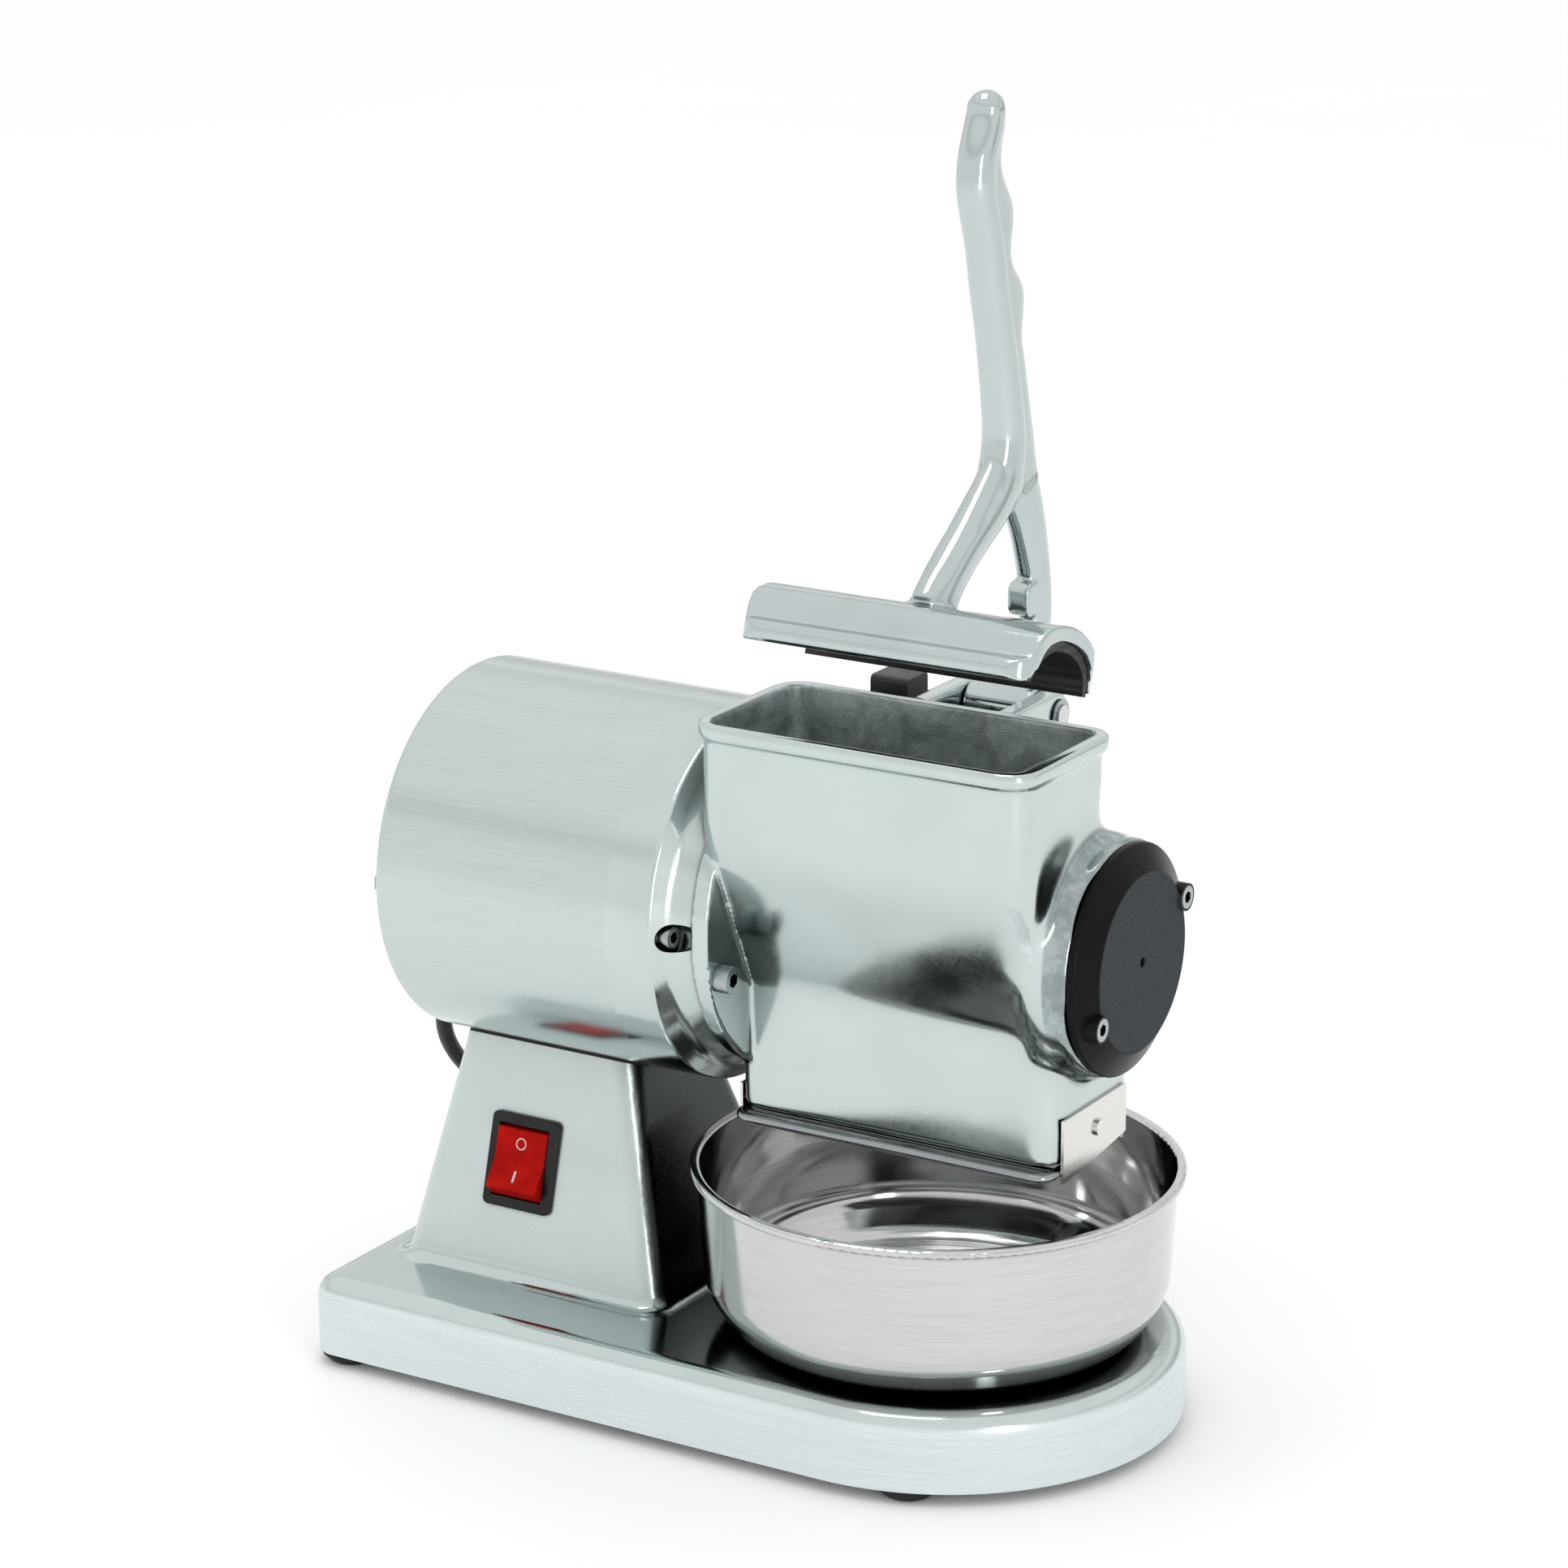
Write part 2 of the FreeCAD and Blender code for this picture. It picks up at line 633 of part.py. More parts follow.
def ball_bearing(name, left, bore, outside, wide):
    """Outer and inner rings with a ring of balls between them."""
    middle = (bore + outside) / 2
    ball = (outside - bore) * 0.27
    raceway = ball * 0.55
    rings = [
        turned_on_axis(name + "_outer", [(left, middle + raceway), (left, outside),
                                         (left + wide, outside),
                                         (left + wide, middle + raceway)]),
        turned_on_axis(name + "_shield", [(left + 0.6, middle - raceway + 0.3),
                                          (left + 0.6, middle + raceway - 0.05),
                                          (left + wide - 0.6, middle + raceway - 0.05),
                                          (left + wide - 0.6, middle - raceway + 0.3)])]
    inner = turned_on_axis(name + "_inner", [(left, bore), (left, middle - raceway),
                                             (left + wide, middle - raceway),
                                             (left + wide, bore)])
    group(name, rings)
    node(inner, name + "_race")


ball_bearing("front_bearing", S.joint_plane - 21.5, 8.52, 20, 12)
ball_bearing("rear_bearing", S.barrel_left + 9, 7.52, 17.5, 11)

node(turned_on_axis("shaft_body", [
    (S.barrel_left + 9, 0.0), (S.barrel_left + 9, 7.5), (S.barrel_left + 20.5, 7.5),
    (S.barrel_left + 20.5, S.shaft_radius), (S.joint_plane + 8, S.shaft_radius),
    (S.joint_plane + 8, 7), (S.drum_left + 16, 7), (S.drum_left + 16, 0.0)]), "motor_shaft")


def cooling_fan():
    """Hub with eight flat blades behind the windings."""
    left = STACK[0] - 16.5
    hub = turned_on_axis("fan_hub", [(left, S.shaft_radius + 0.02), (left + 3, S.shaft_radius + 0.02),
                                     (left + 3, 34), (left, 34)])
    blades = []
    for i in range(8):
        turn = FreeCAD.Rotation(V(1, 0, 0), 45 * i)
        blade = box("fan_blade_%d" % i, (0, 0, 0), (12, 38, 1.6))
        blade.Placement = FreeCAD.Placement(V(left - 9, 0, float(S.axis_height)), turn) \
            .multiply(FreeCAD.Placement(V(0, 14, -0.8), FreeCAD.Rotation()))
        blades.append(blade)
    rear_room = cylinder("fan_room", 23, 14, (left - 13, 0, S.axis_height), (1, 0, 0))
    return node(cut("fan_cut", fuse("fan_solid", [hub] + blades), [rear_room]), "cooling_fan")


cooling_fan()

# ----------------------------------------------------------------------------
# Hopper casting: mouth, drum chamber, chute, ring flange and hinge lugs
# ----------------------------------------------------------------------------

LUGS = [(45.8, 53.8), (82.2, 90.2)]
HINGE = (float(S.hinge_back), float(S.hinge_height))


def hopper_casting():
    body = new_body("hopper_body")
    left = S.joint_plane
    long = S.hopper_right - S.joint_plane
    profile = outline(new_sketch(body, "hopper_side", "YZ_Plane", left), [
        (S.hopper_front, S.rim_top), (S.hopper_front, S.crease_height + 59, 50),
        (-S.chute_half - 1.5, S.crease_height, 1.2),
        (-S.chute_half, S.chute_bottom), (S.chute_half, S.chute_bottom),
        (S.chute_half, S.crease_height, 8), (S.hopper_back, S.crease_height + 50, 18),
        (S.hopper_back, S.rim_top)])
    block = pad(body, profile, long, "hopper_block")
    ends = (float(left), float(left + long))
    top, bottom = float(S.rim_top), float(S.chute_bottom)

    def end_edge(edge):
        box_ = edge.BoundBox
        at_end = box_.XLength < 0.01 and min(abs(box_.XMin - e) for e in ends) < 0.01
        level = box_.ZLength < 0.01 and (abs(box_.ZMin - top) < 0.01 or abs(box_.ZMin - bottom) < 0.01)
        return at_end and not level

    rounded = round_edges(body, block, S.hopper_round, end_edge, "hopper_corners")
    body.Tip = rounded
    doc.recompute()

    bead = new_body("rim_bead")
    bead_sketch = new_sketch(bead, "rim_outline", "XY_Plane", S.rim_top - 6)
    outline(bead_sketch, rectangle(S.joint_plane - 2, S.hopper_right + 2.4,
                                   S.hopper_front - 2, S.hopper_back + 2.2,
                                   S.hopper_round + 1.8))
    lip = pad(bead, bead_sketch, 6, "rim_pad")
    low = float(S.rim_top) - 6
    lip = round_edges(bead, lip, 1.7, lambda e: e.BoundBox.ZMax < low + 0.01, "rim_under")
    high = float(S.rim_top)
    lip = round_edges(bead, lip, 1.2, lambda e: e.BoundBox.ZMin > high - 0.01, "rim_over")
    bead.Tip = lip
    doc.recompute()

    x_ring = S.joint_plane
    pieces = [body, bead]
    pieces.append(cylinder("ring_plate", S.ring_radius, S.ring_thick,
                           (x_ring, 0, S.axis_height), (1, 0, 0)))
    pieces.append(cylinder("chamber", S.chamber_radius, S.hopper_right - x_ring,
                           (x_ring, 0, S.axis_height), (1, 0, 0)))
    collar = turned_on_axis("collar", [
        (S.hopper_right - 8, 20), (S.hopper_right - 8, S.collar_radius + 1.8),
        (S.hopper_right + 2.5, S.collar_radius + 1.8, 1.5),
        (S.hopper_right + 2.5, S.collar_radius - 1, 0.8),
        (S.hopper_right + 5, S.collar_radius - 1, 0.8),
        (S.hopper_right + 5, S.collar_radius, 0.5), (S.collar_end, S.collar_radius, 1.2),
        (S.collar_end, 20)])
    pieces.append(collar)
    for i, (x_low, x_high) in enumerate(LUGS):
        lug = extruded("lug_%d" % i, "YZ_Plane", [
            (S.hopper_back - 2, S.rim_top - 1), (S.hinge_back + 7.5, S.rim_top - 1, 7.3),
            (S.hinge_back + 7.5, S.hinge_height - 7.5, 7.3),
            (S.hinge_back - 8, S.hinge_height - 7.5, 12), (S.hopper_back - 2, S.hinge_height - 32)],
            x_low, x_high - x_low)
        pieces.append(lug)
    doc.recompute()
    solid = fuse("hopper_solid", pieces)

    wall = S.hopper_wall
    throat = new_body("throat")
    levels = [(S.rim_top + 2, S.hopper_front + wall - 0.5), (S.rim_top - 38, S.hopper_front + wall),
              (S.axis_height + 25, -51.5), (S.axis_height + 11, -45), (S.axis_height - 3, -31)]
    sections = []
    for i, (height, front) in enumerate(levels):
        sketch = new_sketch(throat, "throat_%d" % i, "XY_Plane", height)
        outline(sketch, rectangle(S.joint_plane + wall + 0.5, S.hopper_right - wall - 0.5,
                                  front, S.hopper_back - wall, S.hopper_round - wall - 1))
        sections.append(sketch)
    loft(throat, sections, "throat_loft")
    chute = new_body("chute_room")
    inner = S.chute_half - wall - 0.5
    chute_sketch = outline(new_sketch(chute, "chute_outline", "XY_Plane", S.chute_bottom - 1),
                           rectangle(S.joint_plane + wall + 1, S.hopper_right - wall - 1,
                                     -inner, inner, 7))
    pad(chute, chute_sketch, S.axis_height - S.chute_bottom - 5, "chute_pad")
    holes = [throat, chute,
             cylinder("drum_bore", S.chamber_bore, 150, (S.joint_plane + 6, 0, S.axis_height),
                      (1, 0, 0)),
             cylinder("seal_bore", 15, 12, (S.joint_plane - 2, 0, S.axis_height), (1, 0, 0)),
             cylinder("pin_bore", S.pin_radius + 0.02, 60,
                      (40, S.hinge_back, S.hinge_height), (1, 0, 0))]
    for angle in RING_SCREW_ANGLES:
        holes.append(cylinder("ring_hole_%d" % angle, 3.2, 10,
                              on_axis(RING_SCREW_CIRCLE, angle, x_ring - 1), (1, 0, 0)))
    for angle in CAP_ANGLES:
        holes.append(cylinder("cap_tap_%d" % angle, 2.5, 14,
                              on_axis(S.cap_screw_circle, angle, S.collar_end - 12), (1, 0, 0)))
    for x, height in RIVETS:
        holes.append(cylinder("rivet_hole_%d" % x, 1.65, 8, (x, RIVET_Y, height), (1, 0, 0)))
    return node(cut("hopper_cut", solid, holes), "hopper_casting")


CAP_ANGLES = [26, 206]
RIVET_Y = 0.5
RIVETS = [(-5, 119), (126, 124.5)]
hopper_casting()

group("hopper_flange_screws", [
    socket_screw("ring_screw_%d" % angle, 6, 14,
                 on_axis(RING_SCREW_CIRCLE, angle, S.joint_plane + S.ring_thick + 0.05), (-1, 0, 0))
    for angle in RING_SCREW_ANGLES])
node(turned_on_axis("seal_body", [(S.joint_plane + 0.2, S.shaft_radius + 0.05),
                                  (S.joint_plane + 5.8, S.shaft_radius + 0.05),
                                  (S.joint_plane + 5.8, 14.95),
                                  (S.joint_plane + 0.2, 14.95)]), "shaft_seal")

# ----------------------------------------------------------------------------
# Drum with blades
# ----------------------------------------------------------------------------

BLADES = 6
BLADE_WIDE, BLADE_DEEP, BLADE_STAND = 2.0, 4.0, 0.8


def blade_box(name, index, grow):
    """One blade, or with grow its slot, in its place on the drum."""
    wide, deep = BLADE_WIDE + grow, BLADE_DEEP + grow
    reach = float(S.drum_radius) + BLADE_STAND - deep
    blade = box(name, (0, 0, 0), (S.drum_right - S.drum_left - 8 + grow, deep + BLADE_STAND, wide))
    blade.Placement = FreeCAD.Placement(V(float(S.drum_left) + 4 - grow / 2, 0,
                                          float(S.axis_height)),
                                        FreeCAD.Rotation(V(1, 0, 0), 360 / BLADES * index)) \
        .multiply(FreeCAD.Placement(V(0, reach - BLADE_STAND, -wide / 2), FreeCAD.Rotation()))
    return blade


drum_solid = turned_on_axis("drum_turned", [
    (S.drum_left, 7.05), (S.drum_left, S.drum_radius - 0.8), (S.drum_left + 0.8, S.drum_radius),
    (S.drum_right - 0.8, S.drum_radius), (S.drum_right, S.drum_radius - 0.8),
    (S.drum_right, 6), (S.collar_end - 1, 6), (S.collar_end - 1, 0.0), (S.drum_right - 5, 0.0),
    (S.drum_right - 5, 22), (S.drum_left + 17, 22), (S.drum_left + 17, 7.05)])
drum_slots = [blade_box("blade_slot_%d" % i, i, 0.04) for i in range(BLADES)]
node(cut("drum_cut", drum_solid, drum_slots), "shaving_drum")
group("drum_blades", [blade_box("blade_%d" % i, i, 0.0) for i in range(BLADES)])

# ----------------------------------------------------------------------------
# End cap
# ----------------------------------------------------------------------------

cap_face = S.collar_end + S.cap_thick
cap_turned = turned_on_axis("cap_turned", [
    (S.collar_end - 9, 14), (S.collar_end - 9, S.chamber_bore - 0.1),
    (S.collar_end + 0.1, S.chamber_bore - 0.1), (S.collar_end + 0.1, S.cap_radius),
    (S.collar_end + 2.6, S.cap_radius, 1), (cap_face, S.cap_disc_radius, 1.6),
    (cap_face, 2), (cap_face - 1.5, 2), (cap_face - 1.5, 0.0), (S.collar_end + 4, 0.0),
    (S.collar_end + 4, 9.05), (S.collar_end - 9, 9.05)])
cap_bosses = [cylinder("cap_boss_%d" % angle, 5.2, 9.4,
                       on_axis(S.cap_screw_circle, angle, S.collar_end + 0.1), (1, 0, 0))
              for angle in CAP_ANGLES]
cap_holes = []
for angle in CAP_ANGLES:
    cap_holes.append(cylinder("cap_hole_%d" % angle, 2.6, 20,
                              on_axis(S.cap_screw_circle, angle, S.collar_end - 1), (1, 0, 0)))
    cap_holes.append(cylinder("cap_sink_%d" % angle, 4.3, 10,
                              on_axis(S.cap_screw_circle, angle, S.collar_end + 4.5), (1, 0, 0)))
node(cut("cap_cut", fuse("cap_solid", [cap_turned] + cap_bosses), cap_holes), "end_cap")
group("end_cap_screws", [
    socket_screw("cap_screw_%d" % angle, 5, 14,
                 on_axis(S.cap_screw_circle, angle, S.collar_end + 4.55), (-1, 0, 0))
    for angle in CAP_ANGLES])
node(turned_on_axis("bush_body", [(S.collar_end - 8, 6.06), (S.collar_end + 3.9, 6.06),
                                  (S.collar_end + 3.9, 9.0), (S.collar_end - 8, 9.0)]),
     "end_cap_bush")

# ----------------------------------------------------------------------------
# Outlet guard
# ----------------------------------------------------------------------------

SIDE_SHEET = 1.2


def guard_plate(name, x_low, top, rivet_height):
    """Side sheet with a slanted lower edge, riveted to the chute's end wall."""
    plate = extruded(name, "YZ_Plane", [
        (-26, 110.7), (-8, 112), (22.5, 116), (22.5, top), (-26, top)], x_low, SIDE_SHEET)
    hole = cylinder(name + "_hole", 1.65, 6, (x_low - 2, RIVET_Y, rivet_height), (1, 0, 0))
    return cut(name + "_cut", plate, [hole])


# the left sheet ends below the motor flange, the right one stands free
GUARD_SIDES = [float(S.joint_plane) - SIDE_SHEET - 0.05, float(S.hopper_right) + 0.05]
GUARD_TOPS = [124, 134.8]
group("guard_plates", [guard_plate("guard_plate_%d" % i, GUARD_SIDES[i], GUARD_TOPS[i],
                                   RIVETS[i][1]) for i in range(2)])


def rivet(name, x, height, direction):
    head = cylinder(name + "_head", 3.2, 1.2, (0, 0, -1.2))
    shank = cylinder(name + "_shank", 1.6, 5, (0, 0, 0))
    return place(fuse(name, [head, shank]), (x, RIVET_Y, height), towards(direction))


group("guard_rivets", [
    rivet("rivet_left", GUARD_SIDES[0] - 0.02, RIVETS[0][1], (1, 0, 0)),
    rivet("rivet_right", GUARD_SIDES[1] + SIDE_SHEET + 0.02, RIVETS[1][1], (-1, 0, 0))])


def wire_along(points, bend, radius):
    """Round wire through points, with arcs of one bend radius at the corners."""
    edges = []
    start = V(*points[0])
    for i in range(1, len(points) - 1):
        corner = V(*points[i])
        before = (V(*points[i - 1]) - corner).normalize()
        after = (V(*points[i + 1]) - corner).normalize()
        half = before.getAngle(after) / 2
        reach = bend / math.tan(half)
        centre = corner + (before + after).normalize() * (bend / math.sin(half))
        middle = centre + (corner - centre).normalize() * bend
        first, last = corner + before * reach, corner + after * reach
        edges.append(Part.LineSegment(start, first).toShape())
        edges.append(Part.Arc(first, middle, last).toShape())
        start = last
    edges.append(Part.LineSegment(start, V(*points[-1])).toShape())
    path = Part.Wire(edges)
    along = V(*points[1]) - V(*points[0])
    ring = Part.Wire([Part.Circle(V(*points[0]), along, radius).toShape()])
    return path.makePipeShell([ring], True, True)


WIRE_LEFT, WIRE_RIGHT = float(S.joint_plane) + 0.02, float(S.hopper_right) - 0.02
front_wire = shape_feature("front_wire", wire_along(
    [(WIRE_LEFT + 2, 14, 114.8), (WIRE_LEFT + 2, -34.5, 114.2), (WIRE_RIGHT - 2, -34.5, 114.2),
     (WIRE_RIGHT - 2, 14, 114.8)], 6, 1.9))
inner_wires = [cylinder("guard_wire_%d" % i, 1.3, WIRE_RIGHT - WIRE_LEFT, (WIRE_LEFT, y, 114.4),
                        (1, 0, 0))
               for i, y in enumerate((-25, -13, -1, 11, 22))]
group("guard_wires", [fuse("guard_wire_frame", [front_wire] + inner_wires)])

# ----------------------------------------------------------------------------
# Press lever, pad and hinge
# ----------------------------------------------------------------------------

PRESS_ORIGIN = V(0, -47.5, 303.5)
TILT = math.radians(float(S.press_tilt))


def press_point(across, up, x=0.0):
    """A point of the presser's section: across its width and up from its lips."""
    y = across * math.cos(TILT) + up * math.sin(TILT)
    z = -across * math.sin(TILT) + up * math.cos(TILT)
    return V(x, PRESS_ORIGIN.y + y, PRESS_ORIGIN.z + z)


SHELL_OUTSIDE = [(5, 0), (1.5, 0.3), (0, 3), (1.5, 6.8), (5.5, 8.6), (8, 14), (14, 19.5),
                 (24.5, 21.8), (36, 21.3), (47.5, 17.4), (55.7, 10.5), (59.2, 2.5), (59.2, -1)]
SHELL_INSIDE = [(54.4, -1), (53.9, 3), (49.5, 10), (42.2, 14.2), (32.8, 16), (22.5, 15.6),
                (14, 11.5), (9.5, 5), (5, 0)]
PAD_OUTSIDE = [(54.2, -2.2), (53.7, 3), (49.3, 9.85), (42.1, 14.0), (32.8, 15.8), (22.6, 15.4),
               (14.15, 11.35), (9.7, 4.9), (6.2, 0.2)]
PAD_INSIDE = [(9, 0.2), (13, 5.5), (17.5, 9.3), (24, 12), (32.8, 12.4), (41, 10.6), (47, 7),
              (50.3, 2), (50.7, -2.2)]


def rounded_block(x_low, x_high, radius):
    """Upright block round the presser, with round corners seen from above."""
    block = Part.makeBox(x_high - x_low, 61, 40, V(x_low, -0.4, -10))
    block = block.makeFillet(radius, [e for e in block.Edges if e.BoundBox.ZLength > 39])
    block.Placement = FreeCAD.Placement(PRESS_ORIGIN,
                                        FreeCAD.Rotation(V(1, 0, 0), -float(S.press_tilt)))
    return block


def presser_section(outer, inner, x_low, length):
    """Solid between two smooth curves, along X."""
    curves = []
    for points in (outer, inner):
        curve = Part.BSplineCurve()
        curve.interpolate([press_point(a, b, x_low) for a, b in points])
        curves.append(curve.toShape())
    edges = [curves[0], Part.LineSegment(press_point(*outer[-1], x_low),
                                         press_point(*inner[0], x_low)).toShape(), curves[1]]
    if outer[0] != inner[-1]:
        edges.append(Part.LineSegment(press_point(*inner[-1], x_low),
                                      press_point(*outer[0], x_low)).toShape())
    return Part.Face(Part.Wire(edges)).extrude(V(length, 0, 0))


def presser_shell():
    x_low, x_high = float(S.press_left), float(S.press_right)
    shell = presser_section(SHELL_OUTSIDE, SHELL_INSIDE, x_low, x_high - x_low)
    return shell.common(rounded_block(x_low, x_high, 12))


def presser_pad():
    x_low, x_high = float(S.press_left) + 2.5, float(S.press_right) - 2.5
    pad_solid = presser_section(PAD_OUTSIDE, PAD_INSIDE, x_low, x_high - x_low)
    return pad_solid.common(rounded_block(x_low, x_high, 9))


def oval_section(y, z, half_depth, half_wide, direction):
    """Ellipse across the lever's path: half_wide along X, half_depth in the lever's plane."""
    centre = V(float(S.lever_mid), y, z)
    along = V(0, *direction).normalize()
    side = V(1, 0, 0)
    depth_way = along.cross(side).normalize()
    if half_depth >= half_wide:
        ellipse = Part.Ellipse(centre + depth_way * half_depth, centre + side * half_wide, centre)
    else:
        ellipse = Part.Ellipse(centre + side * half_wide, centre + depth_way * half_depth, centre)
    return Part.Wire([ellipse.toShape()])


BAR = [((25.2, 489.7), 6.6), ((20.8, 477), 7.1), ((18.2, 464), 7.5), ((21.4, 450.5), 7.5),
       ((27.6, 428), 7.3), ((34.4, 403), 7.3), ((39.8, 380), 7.5), ((41.6, 366), 8.0),
       ((41, 353), 9.4)]
RIB = [(487, 25, 34.0), (478, 22, 33.4), (470.5, 20, 32.4), (461, 19, 37.0), (451.7, 21, 43.2),
       (444, 23, 43.0), (436, 25.5, 41.3), (428, 28, 45.2), (420.6, 30, 51.6), (412, 32.5, 51.8),
       (404, 34, 50.6), (390, 38, 54.0), (375, 41, 58.0), (360, 42, 62.2), (346, 42, 66.0)]
FRONT_LEG = [((42, 355), 12.0), ((33, 346), 11.6), ((20, 338.5), 9.2), ((7.5, 330), 8.2),
             ((-4, 321.5), 8.8), ((-12, 313), 10.5)]
REAR_LEG = [((53, 347), 11.5), ((58.5, 334), 10.0), ((63.5, 319), 8.6), ((67, 303), 7.6),
            ((66.5, 289), 7.4), ((61, 277), 7.5), ((53, 268), 7.6), ((45.5, 263.5), 7.6)]


def leg_loft(stations, half_wide):
    wires = []
    for i, ((y, z), half_depth) in enumerate(stations):
        before = stations[max(i - 1, 0)][0]
        after = stations[min(i + 1, len(stations) - 1)][0]
        way = (after[0] - before[0], after[1] - before[1])
        wires.append(oval_section(y, z, half_depth, half_wide, way))
    return Part.makeLoft(wires, True, False)


def lever_shape():
    bar = leg_loft(BAR, 7.2)
    rib = Part.makeLoft([oval_section((front + back) / 2, z, (back - front) / 2, 4.6, (0, 1))
                         for z, front, back in RIB], True, False)
    tip = Part.makeSphere(6.75, V(float(S.lever_mid), 25.2, 489.1))
    front = leg_loft(FRONT_LEG, 7.4)
    rear = leg_loft(REAR_LEG, 5.8)
    mid = float(S.lever_mid)
    stop = Part.makeBox(9, 12, 13, V(mid - 4.5, 53, 296))
    stop = stop.makeChamfer(2.5, [e for e in stop.Edges if e.BoundBox.YMax < 53.1
                                  and e.BoundBox.XLength > 8])
    knuckle = Part.makeCylinder(9.5, LUGS[1][0] - LUGS[0][1] - 0.6,
                                V(LUGS[0][1] + 0.3, HINGE[0], HINGE[1]), V(1, 0, 0))
    solid = bar.multiFuse([rib, tip, front, rear, stop, knuckle, presser_shell()])
    bore = Part.makeCylinder(float(S.pin_radius) + 0.06, 60, V(40, *HINGE), V(1, 0, 0))
    return solid.cut(bore).removeSplitter()


node(shape_feature("lever_shape", lever_shape()), "press_lever")
node(shape_feature("pad_shape", presser_pad()), "presser_pad")

pin = cylinder("pin_solid", S.pin_radius, 48.4, (43.8, S.hinge_back, S.hinge_height), (1, 0, 0))
grooves = [cut("groove_%d" % i, cylinder("groove_out_%d" % i, 5, 0.9, (x, S.hinge_back,
                                                                     S.hinge_height), (1, 0, 0)),
               [cylinder("groove_in_%d" % i, 3.2, 0.9, (x, S.hinge_back, S.hinge_height),
                         (1, 0, 0))]) for i, x in enumerate((44.6, 90.5))]
node(cut("pin_cut", pin, grooves), "hinge_pin")
clips = [cut("clip_%d" % i, cylinder("clip_out_%d" % i, 6, 0.7, (x, S.hinge_back,
                                                                S.hinge_height), (1, 0, 0)),
             [cylinder("clip_in_%d" % i, 3.25, 0.7, (x, S.hinge_back, S.hinge_height), (1, 0, 0)),
              box("clip_gap_%d" % i, (x - 0.2, S.hinge_back - 2.4, S.hinge_height - 7),
                  (x + 1, S.hinge_back + 2.4, S.hinge_height))])
         for i, x in enumerate((44.7, 90.6))]
group("hinge_clips", clips)

# safety switch behind the mouth, beside the hinge
node(extruded("safety_body", "YZ_Plane", [
    (S.hopper_back + 0.1, 244), (36, 244, 3), (36, 275.5, 2), (21, 275.5, 2), (21, 264, 3),
    (S.hopper_back + 0.1, 264)], 24, 16), "safety_switch_box")

# ----------------------------------------------------------------------------
# Bowl
# ----------------------------------------------------------------------------

LIFT = S.base_top + S.bowl_lift
SKIN = S.bowl_sheet
bowl = turned("bowl_body", [
    (0.0, LIFT + 3), (54, LIFT + 3, 3), (58, LIFT, 3), (76.5, LIFT, 12),
    (87.5, LIFT + 16, 20), (S.bowl_rim_radius - 3, S.bowl_top - 3.5, 0.6),
    (S.bowl_rim_radius, S.bowl_top - 3.2, 1.2), (S.bowl_rim_radius, S.bowl_top, 1.4),
    (S.bowl_rim_radius - 4, S.bowl_top, 1.4), (86.4, LIFT + 16.4, 19),
    (76, LIFT + SKIN, 11), (58.6, LIFT + SKIN, 3), (54.6, LIFT + SKIN + 3, 3),
    (0.0, LIFT + SKIN + 3)], (S.bowl_centre, 0, 0), axis="z")
node(bowl, "bowl")

# ----------------------------------------------------------------------------
# Rocker switch
# ----------------------------------------------------------------------------

PIVOT_DEPTH = 1.5
ROCKER_TILT = 10.0


def switch_housing():
    wide, tall = float(S.bezel_wide) / 2, float(S.bezel_tall) / 2
    bezel_body = new_body("bezel_body")
    face = new_sketch(bezel_body, "bezel_face", "XZ_Plane", 0.05)
    outline(face, rectangle(-wide, wide, -tall, tall, 2.5))
    plate = pad(bezel_body, face, 2.2, "bezel_pad")
    rim = round_edges(bezel_body, plate, 0.9,
                      lambda e: e.BoundBox.YMax < -2.2, "bezel_round")
    bezel_body.Tip = rim
    doc.recompute()
    room_x, room_z = float(S.rocker_wide) / 2 + 0.2, float(S.rocker_tall) / 2 + 0.2
    barrel = box("switch_barrel", (-room_x - 1.3, -1, -room_z - 1.1),
                 (room_x + 1.3, 19, room_z + 1.1))
    room = box("switch_room", (-room_x, -4, -room_z), (room_x, 16.5, room_z))
    return node(switch_frame(cut("housing_cut", fuse("housing_solid", [bezel_body, barrel]),
                                 [room])), "switch_housing")


def switch_rocker():
    """Concave rocker on two pivot studs, tilted so that its upper half is pressed in."""
    half, tall = float(S.rocker_wide) / 2, float(S.rocker_tall) / 2
    profile = [(-3.0, 0), (-5.0, 2.3 - tall), (1.5, -tall), (6.5, 4 - tall), (6.5, tall - 4),
               (1.5, tall), (-5.0, tall - 2.3)]
    studs = cylinder("rocker_studs", 1.5, 2 * half + 0.3, (-half - 0.15, PIVOT_DEPTH, 0), (1, 0, 0))
    key = fuse("rocker_key", [extruded("rocker_block", "YZ_Plane", profile, -half, 2 * half), studs])
    turn = FreeCAD.Rotation(V(1, 0, 0), -ROCKER_TILT)
    pivot = V(0, PIVOT_DEPTH, 0)
    local = FreeCAD.Placement(pivot, turn).multiply(FreeCAD.Placement(-pivot, FreeCAD.Rotation()))
    whole = FreeCAD.Placement(switch_point(0, 0, 0), FACE_TURN).multiply(local)
    key.Placement = whole
    return node(key, "switch_rocker")


switch_housing()
switch_rocker()
group("switch_terminals", [
    switch_frame(box("terminal_%d" % i, (x - 3.2, 19.05, z - 0.4), (x + 3.2, 27, z + 0.4)))
    for i, (x, z) in enumerate([(-5.5, 8), (5.5, 8), (-5.5, -2), (5.5, -2)])])

